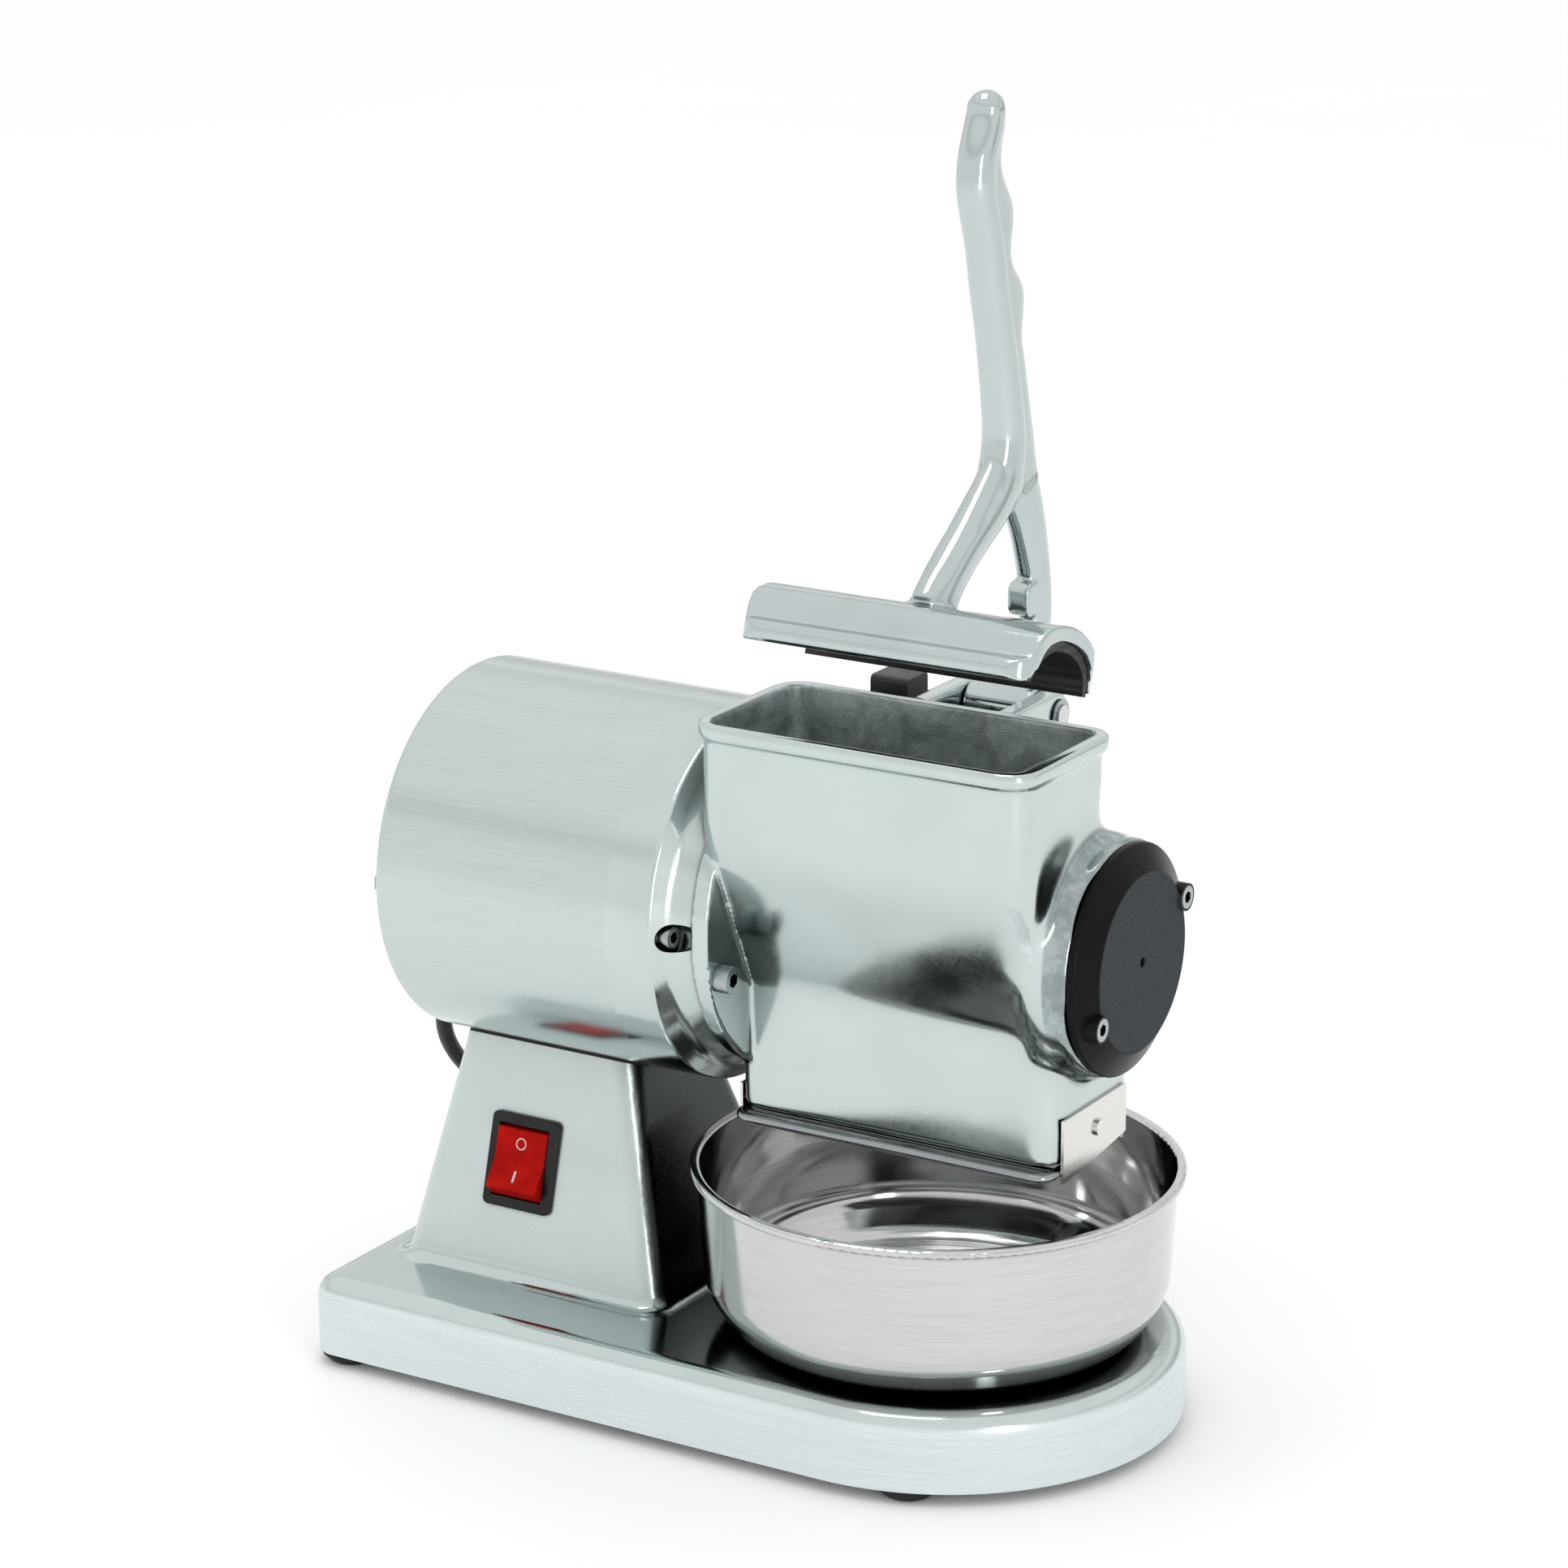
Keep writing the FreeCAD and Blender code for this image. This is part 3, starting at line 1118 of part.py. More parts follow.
# run capacitor lying in the pedestal, held by a strap
node(turned("capacitor_body", [(-120, 0.0), (-120, 15, 1.5), (-62, 15, 1.5), (-62, 0.0)],
            (0, 14, 55)), "capacitor")
strap = cut("strap_cut", cylinder("strap_out", 16, 10, (-95, 14, 55), (1, 0, 0)),
            [cylinder("strap_in", 15.05, 10, (-95, 14, 55), (1, 0, 0))])
node(strap, "capacitor_strap")

# ----------------------------------------------------------------------------
# Mains cord: strain relief, free run, coil and plug
# ----------------------------------------------------------------------------

CORD_R = float(S.cord_diameter) / 2
EXIT_WAY = V(-0.64, 0, -0.768).normalize()
GLAND_AT = V(float(S.barrel_left) + 1.5, 0, float(S.axis_height) - GLAND_DROP)
GLAND_LONG = 24.0
COIL_CENTRE = V(-95, 156, 0)
COIL_MID = 36.0
COIL_ROWS = 3
ROUTE = [(-158.5, 0.0, 120.2), (-161.5, 5.0, 103.0), (-158.5, 17.0, 86.0),
         (-152.0, 36.0, 73.0), (-145.5, 58.5, 63.5), (-140.5, 81.0, 53.0),
         (-138.0, 101.5, 38.0), (-137.8, 115.0, 19.0), (-138.4, 133.0, 4.5), (-137.5, 156.0, 3.25)]


def cord_gland():
    hexnut = Part.makeCylinder(8.5, 4, GLAND_AT + V(-4.1, 0, 0), V(1, 0, 0))
    ball = Part.makeSphere(7.2, GLAND_AT + V(-4, 0, 0))
    ball = ball.cut(Part.makeBox(30, 40, 40, V(float(S.barrel_left) + 1.4, -20,
                                               GLAND_AT.z - 20)))
    start = GLAND_AT + V(-4, 0, 0)
    tail = Part.makeCone(6.6, 4.4, GLAND_LONG, start, EXIT_WAY)
    stem = Part.makeCylinder(5.9, 8, GLAND_AT + V(-0.1, 0, 0), V(1, 0, 0))
    bore = Part.makeCylinder(CORD_R, 4, start + EXIT_WAY * (GLAND_LONG - 3), EXIT_WAY)
    return hexnut.multiFuse([ball, tail, stem]).cut(bore).removeSplitter()


def cord_path():
    """Straight runs joined by tangent arcs, each as large as its two runs allow."""
    start = GLAND_AT + V(-4, 0, 0) + EXIT_WAY * (GLAND_LONG - 3)
    corners = [start] + [V(*p) for p in ROUTE]
    edges = []
    radii = []
    here = corners[0]
    for i in range(1, len(corners) - 1):
        before = corners[i - 1] - corners[i]
        after = corners[i + 1] - corners[i]
        shorter = min(before.Length, after.Length)
        half_turn = (math.pi - before.getAngle(after)) / 2
        radius = 0.45 * shorter / math.tan(half_turn)
        reach = 0.45 * shorter
        before.normalize()
        after.normalize()
        first, last = corners[i] + before * reach, corners[i] + after * reach
        out = (before + after).normalize()
        middle = corners[i] + out * (radius / math.cos(half_turn) - radius)
        edges.append(Part.LineSegment(here, first).toShape())
        edges.append(Part.Arc(first, middle, last).toShape())
        radii.append(round(radius, 1))
        here = last
    edges.append(Part.LineSegment(here, corners[-1]).toShape())
    return Part.Wire(edges), radii, corners


def power_cord():
    path, radii, corners = cord_path()
    way = corners[1] - corners[0]
    ring = Part.Wire([Part.Circle(corners[0], way, CORD_R).toShape()])
    tube = path.makePipeShell([ring], True, True)
    expected = math.pi * CORD_R ** 2 * path.Length
    print("cord arc radii", radii)
    print("cord run %.1f mm, tube volume / section x length = %.4f"
          % (path.Length, tube.Volume / expected))
    return tube


def cord_coil():
    """Closed solid of the outer shape of the coiled length."""
    half = COIL_ROWS * CORD_R
    low = V(COIL_CENTRE.x + COIL_MID - half, COIL_CENTRE.y, 0)
    wide, tall = 2 * half, 2 * CORD_R + 2 * CORD_R * math.sin(math.radians(60))
    ring = Part.Face(Part.makePolygon([low, low + V(wide, 0, 0), low + V(wide, 0, tall * 0.6),
                                       low + V(wide - 3, 0, tall), low + V(3, 0, tall),
                                       low + V(0, 0, tall * 0.6), low]))
    return ring.revolve(COIL_CENTRE, V(0, 0, 1), 360)


PLUG_AT = V(-6, 163, 18.4)
PLUG_WAY = V(0.94, -0.34, 0).normalize()


def power_plug():
    """Round two-pin earthed plug lying beside the coil; its cord end faces the coil."""
    body = Part.makeCylinder(18.3, 20, PLUG_AT, PLUG_WAY)
    shoulder = Part.makeCone(11, 18.3, 12, PLUG_AT - PLUG_WAY * 12, PLUG_WAY)
    neck = Part.makeCone(4.6, 7.2, 22, PLUG_AT - PLUG_WAY * 34, PLUG_WAY)
    side = V(-PLUG_WAY.y, PLUG_WAY.x, 0)
    pins = [Part.makeCylinder(2.4, 19, PLUG_AT + PLUG_WAY * 20 + side * offset, PLUG_WAY)
            for offset in (-9.5, 9.5)]
    return body.multiFuse([shoulder, neck] + pins).removeSplitter()


node(shape_feature("gland_shape", cord_gland()), "cord_gland")
node(shape_feature("cord_shape", power_cord()), "power_cord")
node(shape_feature("coil_shape", cord_coil()), "power_cord_coil")
node(shape_feature("plug_shape", power_plug()), "power_plug")

# ----------------------------------------------------------------------------
# Check and export
# ----------------------------------------------------------------------------

doc.recompute()
for obj in doc.Objects:
    wrong = [state for state in obj.State if state in ("Invalid", "Error")]
    if wrong:
        raise SystemExit("%s (%s) is %s" % (obj.Name, obj.Label, wrong))
for obj in NODES:
    if obj.Shape.isNull() or not obj.Shape.isValid() or not obj.Shape.Solids:
        raise SystemExit("%s has no valid shape" % obj.Label)
os.makedirs("parts", exist_ok=True)
for obj in NODES:
    obj.Shape.exportStep("parts/%s.step" % obj.Label)
print(len(NODES), "nodes written")
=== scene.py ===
"""Looks of a drum-type shaved ice machine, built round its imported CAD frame, in metres.

Row frame: +X along the motor axis towards the drum's end cap, +Y to the back, +Z up.
"""
import json
import math
import random

import bpy
import bmesh
from mathutils import Matrix, Vector


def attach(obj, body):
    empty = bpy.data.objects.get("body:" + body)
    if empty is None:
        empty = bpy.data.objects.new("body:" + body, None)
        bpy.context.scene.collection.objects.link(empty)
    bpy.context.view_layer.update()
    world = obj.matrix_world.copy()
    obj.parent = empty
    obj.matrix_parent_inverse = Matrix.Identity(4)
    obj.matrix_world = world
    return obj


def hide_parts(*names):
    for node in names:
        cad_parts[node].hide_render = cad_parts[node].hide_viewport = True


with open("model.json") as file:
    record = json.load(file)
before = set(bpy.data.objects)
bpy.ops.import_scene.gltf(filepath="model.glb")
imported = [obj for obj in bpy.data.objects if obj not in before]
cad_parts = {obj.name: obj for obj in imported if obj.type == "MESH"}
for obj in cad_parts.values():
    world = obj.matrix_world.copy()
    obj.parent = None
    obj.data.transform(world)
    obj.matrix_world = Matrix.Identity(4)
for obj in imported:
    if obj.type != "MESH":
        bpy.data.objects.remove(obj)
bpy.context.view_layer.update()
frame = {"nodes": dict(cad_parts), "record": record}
nodes = frame["nodes"]
rng = random.Random(7)
MM = 0.001

# ----------------------------------------------------------------------------
# Camera
# ----------------------------------------------------------------------------

camera_data = bpy.data.cameras.new("camera")
camera_data.lens = 112.7
camera_data.sensor_width = 36
camera_data.clip_end = 60
camera = bpy.data.objects.new("camera", camera_data)
camera.location = (0.9090, -1.4972, 0.7585)
camera.rotation_euler = (math.radians(73.35), 0, math.radians(31.285))
bpy.context.scene.collection.objects.link(camera)
bpy.context.scene.camera = camera

# ----------------------------------------------------------------------------
# Materials
# ----------------------------------------------------------------------------


class Shader:
    """A Principled material with short helpers for its nodes."""

    def __init__(self, name, color, metallic=0.0, roughness=0.5, **sockets):
        self.material = bpy.data.materials.new(name)
        self.material.use_nodes = True
        self.tree = self.material.node_tree
        self.principled = self.tree.nodes["Principled BSDF"]
        self.set("Base Color", (*color, 1))
        self.set("Metallic", metallic)
        self.set("Roughness", roughness)
        for key, value in sockets.items():
            self.set(key.replace("_", " "), value)
        self.coords = self.node("ShaderNodeTexCoord").outputs["Object"]
        self.normal = None

    def set(self, socket, value):
        self.principled.inputs[socket].default_value = value

    def node(self, kind, **settings):
        made = self.tree.nodes.new(kind)
        for key, value in settings.items():
            setattr(made, key, value)
        return made

    def link(self, source, target):
        self.tree.links.new(source, target)

    def stretched(self, scale, offset=(0, 0, 0)):
        """Object coordinates, scaled per axis."""
        mapping = self.node("ShaderNodeMapping")
        mapping.inputs["Scale"].default_value = scale
        mapping.inputs["Location"].default_value = offset
        self.link(self.coords, mapping.inputs["Vector"])
        return mapping.outputs["Vector"]

    def noise(self, scale, detail=4, rough=0.55, stretch=(1, 1, 1), distort=0.0):
        noise = self.node("ShaderNodeTexNoise")
        noise.inputs["Scale"].default_value = scale
        noise.inputs["Detail"].default_value = detail
        noise.inputs["Roughness"].default_value = rough
        noise.inputs["Distortion"].default_value = distort
        self.link(self.stretched(stretch), noise.inputs["Vector"])
        return noise.outputs["Fac"]

    def band(self, value, low, high, to_low=0.0, to_high=1.0):
        """Map a value range to another, clamped and smooth."""
        mapped = self.node("ShaderNodeMapRange", interpolation_type="SMOOTHSTEP")
        for key, number in (("From Min", low), ("From Max", high),
                            ("To Min", to_low), ("To Max", to_high)):
            mapped.inputs[key].default_value = number
        self.link(value, mapped.inputs["Value"])
        return mapped.outputs["Result"]

    def math(self, operation, first, second=None):
        made = self.node("ShaderNodeMath", operation=operation)
        for socket, value in zip(made.inputs, (first, second)):
            if value is None:
                continue
            if isinstance(value, (int, float)):
                socket.default_value = value
            else:
                self.link(value, socket)
        return made.outputs[0]

    def mix_color(self, fac, first, second):
        mix = self.node("ShaderNodeMix", data_type="RGBA")
        if isinstance(fac, float):
            mix.inputs["Factor"].default_value = fac
        else:
            self.link(fac, mix.inputs["Factor"])
        for socket, value in ((mix.inputs[6], first), (mix.inputs[7], second)):
            if isinstance(value, tuple):
                socket.default_value = (*value, 1)
            else:
                self.link(value, socket)
        return mix.outputs[2]

    def color(self, source):
        self.link(source, self.principled.inputs["Base Color"])
        return self

    def rough(self, source):
        self.link(source, self.principled.inputs["Roughness"])
        return self

    def metal(self, source):
        self.link(source, self.principled.inputs["Metallic"])
        return self

    def bump(self, height, distance, strength=1.0):
        """Bumps stack: each new one takes the last one's normal."""
        bump = self.node("ShaderNodeBump")
        bump.inputs["Distance"].default_value = distance
        bump.inputs["Strength"].default_value = strength
        self.link(height, bump.inputs["Height"])
        if self.normal:
            self.link(self.normal, bump.inputs["Normal"])
        self.normal = bump.outputs["Normal"]
        self.link(self.normal, self.principled.inputs["Normal"])
        return self

    def shade_crevices(self, reach=0.05, deepest=0.18, samples=6):
        """Painted shade: the base colour is darkened where neighbouring surfaces close in, by ambient
        occlusion.
        """
        hollow = self.node("ShaderNodeAmbientOcclusion", samples=samples)
        hollow.inputs["Distance"].default_value = reach
        open_share = self.band(hollow.outputs["AO"], 0.12, 0.85, deepest, 1.0)
        tint = self.node("ShaderNodeCombineColor")
        for socket in tint.inputs:
            self.link(open_share, socket)
        mix = self.node("ShaderNodeMix", data_type="RGBA", blend_type="MULTIPLY")
        mix.inputs["Factor"].default_value = 1
        self.link(self.principled.inputs["Base Color"].links[0].from_socket, mix.inputs[6])
        self.link(tint.outputs[0], mix.inputs[7])
        return self.color(mix.outputs[2])

    def axes(self):
        """Object x, y and z as separate values."""
        split = self.node("ShaderNodeSeparateXYZ")
        self.link(self.coords, split.inputs[0])
        return split.outputs

    def normals(self):
        """Surface normal's x, y and z, in the row frame."""
        split = self.node("ShaderNodeSeparateXYZ")
        source = self.node("ShaderNodeTexCoord").outputs["Normal"]
        self.link(source, split.inputs[0])
        return split.outputs


def polished(name, color=(0.57, 0.64, 0.635), low=0.06, high=0.2, waves=0.00005):
    """Buffed aluminium: soft waves, faint smears and a fine all-over haze."""
    shader = Shader(name, color, metallic=1.0)
    smear = shader.noise(28, 5, 0.6)
    fine = shader.noise(900, 2)
    shader.rough(shader.math("ADD", shader.band(smear, 0.35, 0.7, low, high),
                             shader.band(fine, 0.3, 0.7, 0.0, 0.03)))
    dark = tuple(c * 0.95 for c in color)
    shader.color(shader.mix_color(shader.band(shader.noise(30, 4), 0.4, 0.75), color, dark))
    shader.bump(shader.noise(16, 2), waves * 8, 0.6)
    shader.bump(shader.noise(350, 3), waves * 0.3, 0.5)
    return shader


def brushed(name, color, axis, low=0.16, high=0.3, fine=1800, depth=0.000012):
    """Metal with fine streaks along one axis."""
    shader = Shader(name, color, metallic=1.0)
    stretch = tuple(0.02 if i == axis else 1.0 for i in range(3))
    streak = shader.noise(fine, 3, 0.7, stretch)
    wide = shader.noise(fine / 12, 3, 0.6, stretch)
    shader.rough(shader.band(wide, 0.3, 0.7, low, high))
    dark = tuple(c * 0.93 for c in color)
    shader.color(shader.mix_color(shader.band(streak, 0.35, 0.7), color, dark))
    shader.bump(streak, depth, 0.7)
    shader.bump(shader.noise(20, 2), 0.0002, 0.4)
    return shader


def plastic(name, color, roughness, grain=0.00003, scale=1400, **sockets):
    """Moulded plastic or rubber with a fine grain and slight unevenness."""
    shader = Shader(name, color, roughness=roughness, **sockets)
    wear = shader.noise(45, 5, 0.6)
    light = tuple(min(1, c * 1.7 + 0.006) for c in color)
    shader.color(shader.mix_color(shader.band(wear, 0.45, 0.8), color, light))
    shader.rough(shader.band(wear, 0.3, 0.7, roughness * 0.85, min(1, roughness * 1.2)))
    shader.bump(shader.noise(scale, 2), grain, 0.6)
    return shader


def base_material():
    """Glossy top, and sides with fine level streaks; with painted crevice shade, a painted light band low
    on the sides and a painted dark reflection on the pedestal's right side.
    """
    shader = polished("base_polished", low=0.08, high=0.12, waves=0.00002)
    up = shader.normals()[2]
    side = shader.band(up, 0.25, 0.6, 1.0, 0.0)
    streak = shader.noise(1500, 3, 0.7, (0.02, 0.02, 1.0))
    gloss = shader.principled.inputs["Roughness"].links[0].from_socket
    shader.rough(shader.math("ADD", gloss, shader.math("MULTIPLY", side, 0.18)))
    shader.bump(shader.math("MULTIPLY", streak, side), 0.00003, 0.8)
    # Painted shade: base colour darkened in the crevices round the pedestal and the bowl.
    shader.shade_crevices()
    x, y, z = shader.axes()
    # Painted light: the sides below z 0.030 to 0.035 get a lighter, less metallic tone standing in for
    # the bright floor they would mirror; the brushed lines in it are the metal's own.
    painted_light_band = shader.math("MULTIPLY", shader.band(z, 0.030, 0.035, 1.0, 0.0), side)
    lines = shader.band(streak, 0.3, 0.7)
    painted_light_tone = shader.mix_color(lines, (0.65, 0.72, 0.73), (0.58, 0.64, 0.65))
    tint = shader.principled.inputs["Base Color"].links[0].from_socket
    # Painted reflection: the pedestal's right side, facing +X above the base top, is tinted near-black
    # for the dark bowl and hopper it mirrors.
    painted_dark_side = shader.math("MULTIPLY", shader.band(shader.normals()[0], 0.6, 0.85),
                       shader.band(z, 0.036, 0.042))
    painted_dark_side = shader.math("MULTIPLY", painted_dark_side, shader.band(x, 0.0, 0.005, 1.0, 0.0))
    tint = shader.mix_color(painted_dark_side, tint, (0.070, 0.077, 0.080))
    # The painted light band low on the sides and the painted dark reflection on the pedestal's side are
    # mixed in here.
    shader.color(shader.mix_color(painted_light_band, tint, painted_light_tone))
    shader.metal(shader.math("SUBTRACT", 1.0, shader.math("MULTIPLY", painted_light_band, 0.7)))
    return shader.material


def hopper_material():
    """Polished outside; inside the mouth and chute, matt mottled casting; painted shade on the collar's
    ring and in crevices.
    """
    shader = polished("hopper_polished", low=0.10, high=0.17, waves=0.00003)
    x, y, z = shader.axes()
    past = []
    for value, middle, straight in ((x, 0.0645, 0.0570), (y, -0.02575, 0.02375)):
        off = shader.math("ABSOLUTE", shader.math("SUBTRACT", value, middle))
        past.append(shader.math("MAXIMUM", shader.math("SUBTRACT", off, straight), 0.0))
    from_wall = shader.math("SQRT", shader.math(
        "ADD", shader.math("MULTIPLY", past[0], past[0]),
        shader.math("MULTIPLY", past[1], past[1])))
    inside = shader.band(from_wall, 0.0078, 0.0084, 1.0, 0.0)
    chute = shader.math("MULTIPLY", shader.band(y, -0.0288, -0.0284),
                        shader.band(y, 0.0284, 0.0288, 1.0, 0.0))
    chute = shader.math("MULTIPLY", chute, shader.band(z, 0.150, 0.151, 1.0, 0.0))
    chute = shader.math("MULTIPLY", chute, shader.band(x, 0.0005, 0.001))
    chute = shader.math("MULTIPLY", chute, shader.band(x, 0.1278, 0.1282, 1.0, 0.0))
    belly = shader.band(shader.math("ADD", y, shader.math("MULTIPLY", z, 0.453)),
                        0.0442, 0.0450)
    upper = shader.math("MULTIPLY", shader.band(z, 0.150, 0.151), belly)
    mask = shader.math("MAXIMUM", chute, shader.math("MULTIPLY", inside, upper))
    gloss = shader.principled.inputs["Roughness"].links[0].from_socket
    tint = shader.principled.inputs["Base Color"].links[0].from_socket
    blotch = shader.noise(55, 7, 0.7, distort=0.6)
    cast = shader.mix_color(shader.band(blotch, 0.3, 0.7), (0.34, 0.38, 0.38),
                            (0.72, 0.79, 0.79))
    # Painted shade: the collar's ring face next to the end cap, where wall and collar close in, is
    # darkened to a mottled grey over the polish.
    up = shader.math("SUBTRACT", z, 0.191)
    off_axis = shader.math("SQRT", shader.math("ADD", shader.math("MULTIPLY", y, y),
                                               shader.math("MULTIPLY", up, up)))
    ring = shader.math("MULTIPLY", shader.band(x, 0.1325, 0.1335),
                       shader.band(off_axis, 0.050, 0.052, 1.0, 0.0))
    collar_shade = shader.mix_color(shader.band(blotch, 0.35, 0.65), (0.26, 0.30, 0.31),
                            (0.46, 0.52, 0.52))
    tint = shader.mix_color(ring, tint, collar_shade)
    shader.color(shader.mix_color(mask, tint, cast))
    shader.rough(shader.math("ADD", gloss, shader.math("MULTIPLY", mask, 0.36)))
    shader.bump(shader.math("MULTIPLY", shader.noise(900, 4, 0.7), mask), 0.0002, 0.8)
    # Painted shade: base colour darkened in the hopper's crevices.
    shader.shade_crevices(0.035, 0.4)
    return shader.material


def cap_material():
    """Black plastic with a lathe-turned, greyer flat face."""
    shader = plastic("cap_plastic", (0.004, 0.004, 0.005), 0.4, 0.00002, Specular_IOR_Level=0.1)
    x, y, z = shader.axes()
    up = shader.math("SUBTRACT", z, 0.191)
    radius = shader.math("SQRT", shader.math("ADD", shader.math("MULTIPLY", y, y),
                                             shader.math("MULTIPLY", up, up)))
    face = shader.math("MULTIPLY", shader.band(radius, 0.0328, 0.0334, 1.0, 0.0),
                       shader.band(x, 0.1492, 0.1500))
    speck = shader.noise(1600, 2)
    grey = shader.mix_color(shader.band(speck, 0.35, 0.65), (0.026, 0.030, 0.033),
                            (0.040, 0.047, 0.051))
    tint = shader.principled.inputs["Base Color"].links[0].from_socket
    shader.color(shader.mix_color(face, tint, grey))
    shader.rough(shader.math("ADD", shader.math("MULTIPLY", face, 0.3), 0.3))
    rings = shader.math("SINE", shader.math("MULTIPLY", radius, 2600))
    shader.bump(shader.math("MULTIPLY", rings, face), 0.000012, 0.5)
    return shader.material


def bowl_material():
    """Satin stainless, faintly warm, with turned lines round the wall."""
    shader = Shader("bowl_steel", (0.62, 0.63, 0.62), metallic=1.0)
    smear = shader.noise(18, 4, 0.6)
    shader.rough(shader.band(smear, 0.3, 0.75, 0.06, 0.15))
    lines = shader.noise(1700, 2, 0.6, (0.02, 0.02, 1.0))
    shader.color(shader.mix_color(shader.band(lines, 0.4, 0.7), (0.64, 0.65, 0.64),
                                  (0.58, 0.585, 0.575)))
    shader.bump(lines, 0.000008, 0.6)
    shader.bump(shader.noise(26, 2), 0.0004, 0.4)
    # Painted shade: base colour darkened in the bowl's hollows and crevices.
    shader.shade_crevices(0.06, 0.15)
    return shader.material


def pad_material():
    """Black rubber with moulded ledges along its length."""
    shader = plastic("pad_rubber", (0.009, 0.009, 0.009), 0.5, 0.00006, 900)
    z = shader.axes()[2]
    ledges = shader.math("SINE", shader.math("MULTIPLY", z, 1500))
    shader.bump(ledges, 0.0003, 0.5)
    return shader.material


def rocker_material():
    """Translucent orange-red plastic."""
    shader = Shader("rocker_red", (0.36, 0.005, 0.003), roughness=0.35,
                    Specular_IOR_Level=0.04)
    depth = shader.noise(120, 3)
    shader.color(shader.mix_color(shader.band(depth, 0.3, 0.7), (0.41, 0.006, 0.003),
                                  (0.30, 0.003, 0.002)))
    shader.set("Subsurface Weight", 0.1)
    shader.set("Subsurface Scale", 0.003)
    shader.bump(shader.noise(700, 2), 0.00002, 0.4)
    return shader.material


MAT = {
    "base_casting": base_material(),
    "hopper_casting": hopper_material(),
    "end_cap_plastic": cap_material(),
    "bowl_stainless": bowl_material(),
    "pad_rubber": pad_material(),
    "switch_red": rocker_material(),
    # Barrel: painted crevice shade on its satin metal.
    "motor_shell": brushed("barrel_satin", (0.57, 0.64, 0.635), 0, 0.17, 0.23, 1500,
                           0.000006).shade_crevices(0.04).material,
    # Flange: painted crevice shade.
    "motor_flange": polished("flange_polished", low=0.08, high=0.18).shade_crevices(0.03).material,
    # Lever: painted crevice shade.
    "lever_casting": polished("lever_polished", (0.52, 0.58, 0.58), 0.05, 0.14,
                              0.00006).shade_crevices(0.02, 0.4).material,
    "plate_steel": brushed("plate_steel", (0.60, 0.61, 0.62), 0).material,
    # Zinc fixings: painted crevice shade.
    "zinc_fixings": polished("zinc", (0.40, 0.44, 0.45), 0.16, 0.30,
                             0.00002).shade_crevices(0.008, 0.1).material,
    "black_rubber": plastic("black_rubber", (0.007, 0.007, 0.007), 0.6, Specular_IOR_Level=0.3).material,
    "core_steel": brushed("core_steel", (0.40, 0.40, 0.41), 2, 0.3, 0.45).material,
    "copper_windings": brushed("copper", (0.62, 0.28, 0.12), 1, 0.3, 0.4).material,
    "bearing_steel": polished("bearing_steel", (0.68, 0.68, 0.69)).material,
    "shaft_steel": polished("shaft_steel", (0.66, 0.66, 0.67), 0.12, 0.24).material,
    "black_plastic": plastic("black_plastic", (0.014, 0.014, 0.015), 0.42).material,
    "drum_steel": brushed("drum_steel", (0.70, 0.70, 0.71), 0).material,
    "blade_steel": polished("blade_steel", (0.72, 0.72, 0.73)).material,
    "bush_brass": polished("bush_brass", (0.72, 0.53, 0.24), 0.15, 0.3).material,
    "guard_stainless": brushed("guard_sheet", (0.76, 0.75, 0.72), 1, 0.12,
                               0.22).material,
    # Guard wire: its dark grey colour is a painted reflection of the dark bowl beneath, with painted
    # crevice shade on top.
    "guard_wire": polished("guard_wire", (0.34, 0.36, 0.37), 0.1, 0.2).shade_crevices(0.03, 0.1).material,
    "switch_black": plastic("switch_black", (0.005, 0.005, 0.005), 0.3, Specular_IOR_Level=0.3).material,
    "capacitor_shell": plastic("capacitor_shell", (0.55, 0.55, 0.52), 0.4).material,
    "cord_jacket": plastic("cord_jacket", (0.010, 0.010, 0.011), 0.4, 0.00004,
                           900).material,
    "plug_plastic": plastic("plug_plastic", (0.012, 0.012, 0.013), 0.3).material,
}

for entry in frame["record"]["subparts"]:
    piece = nodes[entry["node"]]
    piece.data.materials.clear()
    piece.data.materials.append(MAT[entry["material_slot"]])

# ----------------------------------------------------------------------------
# Mesh helper
# ----------------------------------------------------------------------------


def add_mesh(name, mesh_builder, material, smooth=True):
    """A new mesh object filled by a function that takes a bmesh."""
    mesh = bpy.data.meshes.new(name)
    bm = bmesh.new()
    mesh_builder(bm)
    bmesh.ops.recalc_face_normals(bm, faces=bm.faces)
    bm.to_mesh(mesh)
    bm.free()
    if smooth:
        mesh.shade_smooth()
    mesh.materials.append(material)
    made = bpy.data.objects.new(name, mesh)
    bpy.context.scene.collection.objects.link(made)
    return made


# ----------------------------------------------------------------------------
# Mains cord: free run, coil and the short length to the plug
# ----------------------------------------------------------------------------

CORD_RADIUS = 0.00325
GLAND_AT = Vector((-0.1365, 0, 0.149))
EXIT_WAY = Vector((-0.64, 0, -0.768)).normalized()
CORD_START = GLAND_AT + Vector((-0.004, 0, 0)) + EXIT_WAY * 0.021
ROUTE = [(-0.1585, 0.0, 0.1202), (-0.1615, 0.005, 0.103), (-0.1585, 0.017, 0.086),
         (-0.152, 0.036, 0.073), (-0.1455, 0.0585, 0.0635), (-0.1405, 0.081, 0.053),
         (-0.138, 0.1015, 0.038), (-0.1378, 0.115, 0.019), (-0.1384, 0.133, 0.0045),
         (-0.1375, 0.156, 0.00325)]
COIL_CENTRE = Vector((-0.095, 0.156, 0))
COIL_MID = 0.036
PITCH = 2 * CORD_RADIUS
POINTS_A_TURN = 16
TURNS = [(1, 0), (0, 0), (-1, 0), (-0.5, 1), (0.5, 1)]
LAYER_RISE = PITCH * math.sin(math.radians(60))
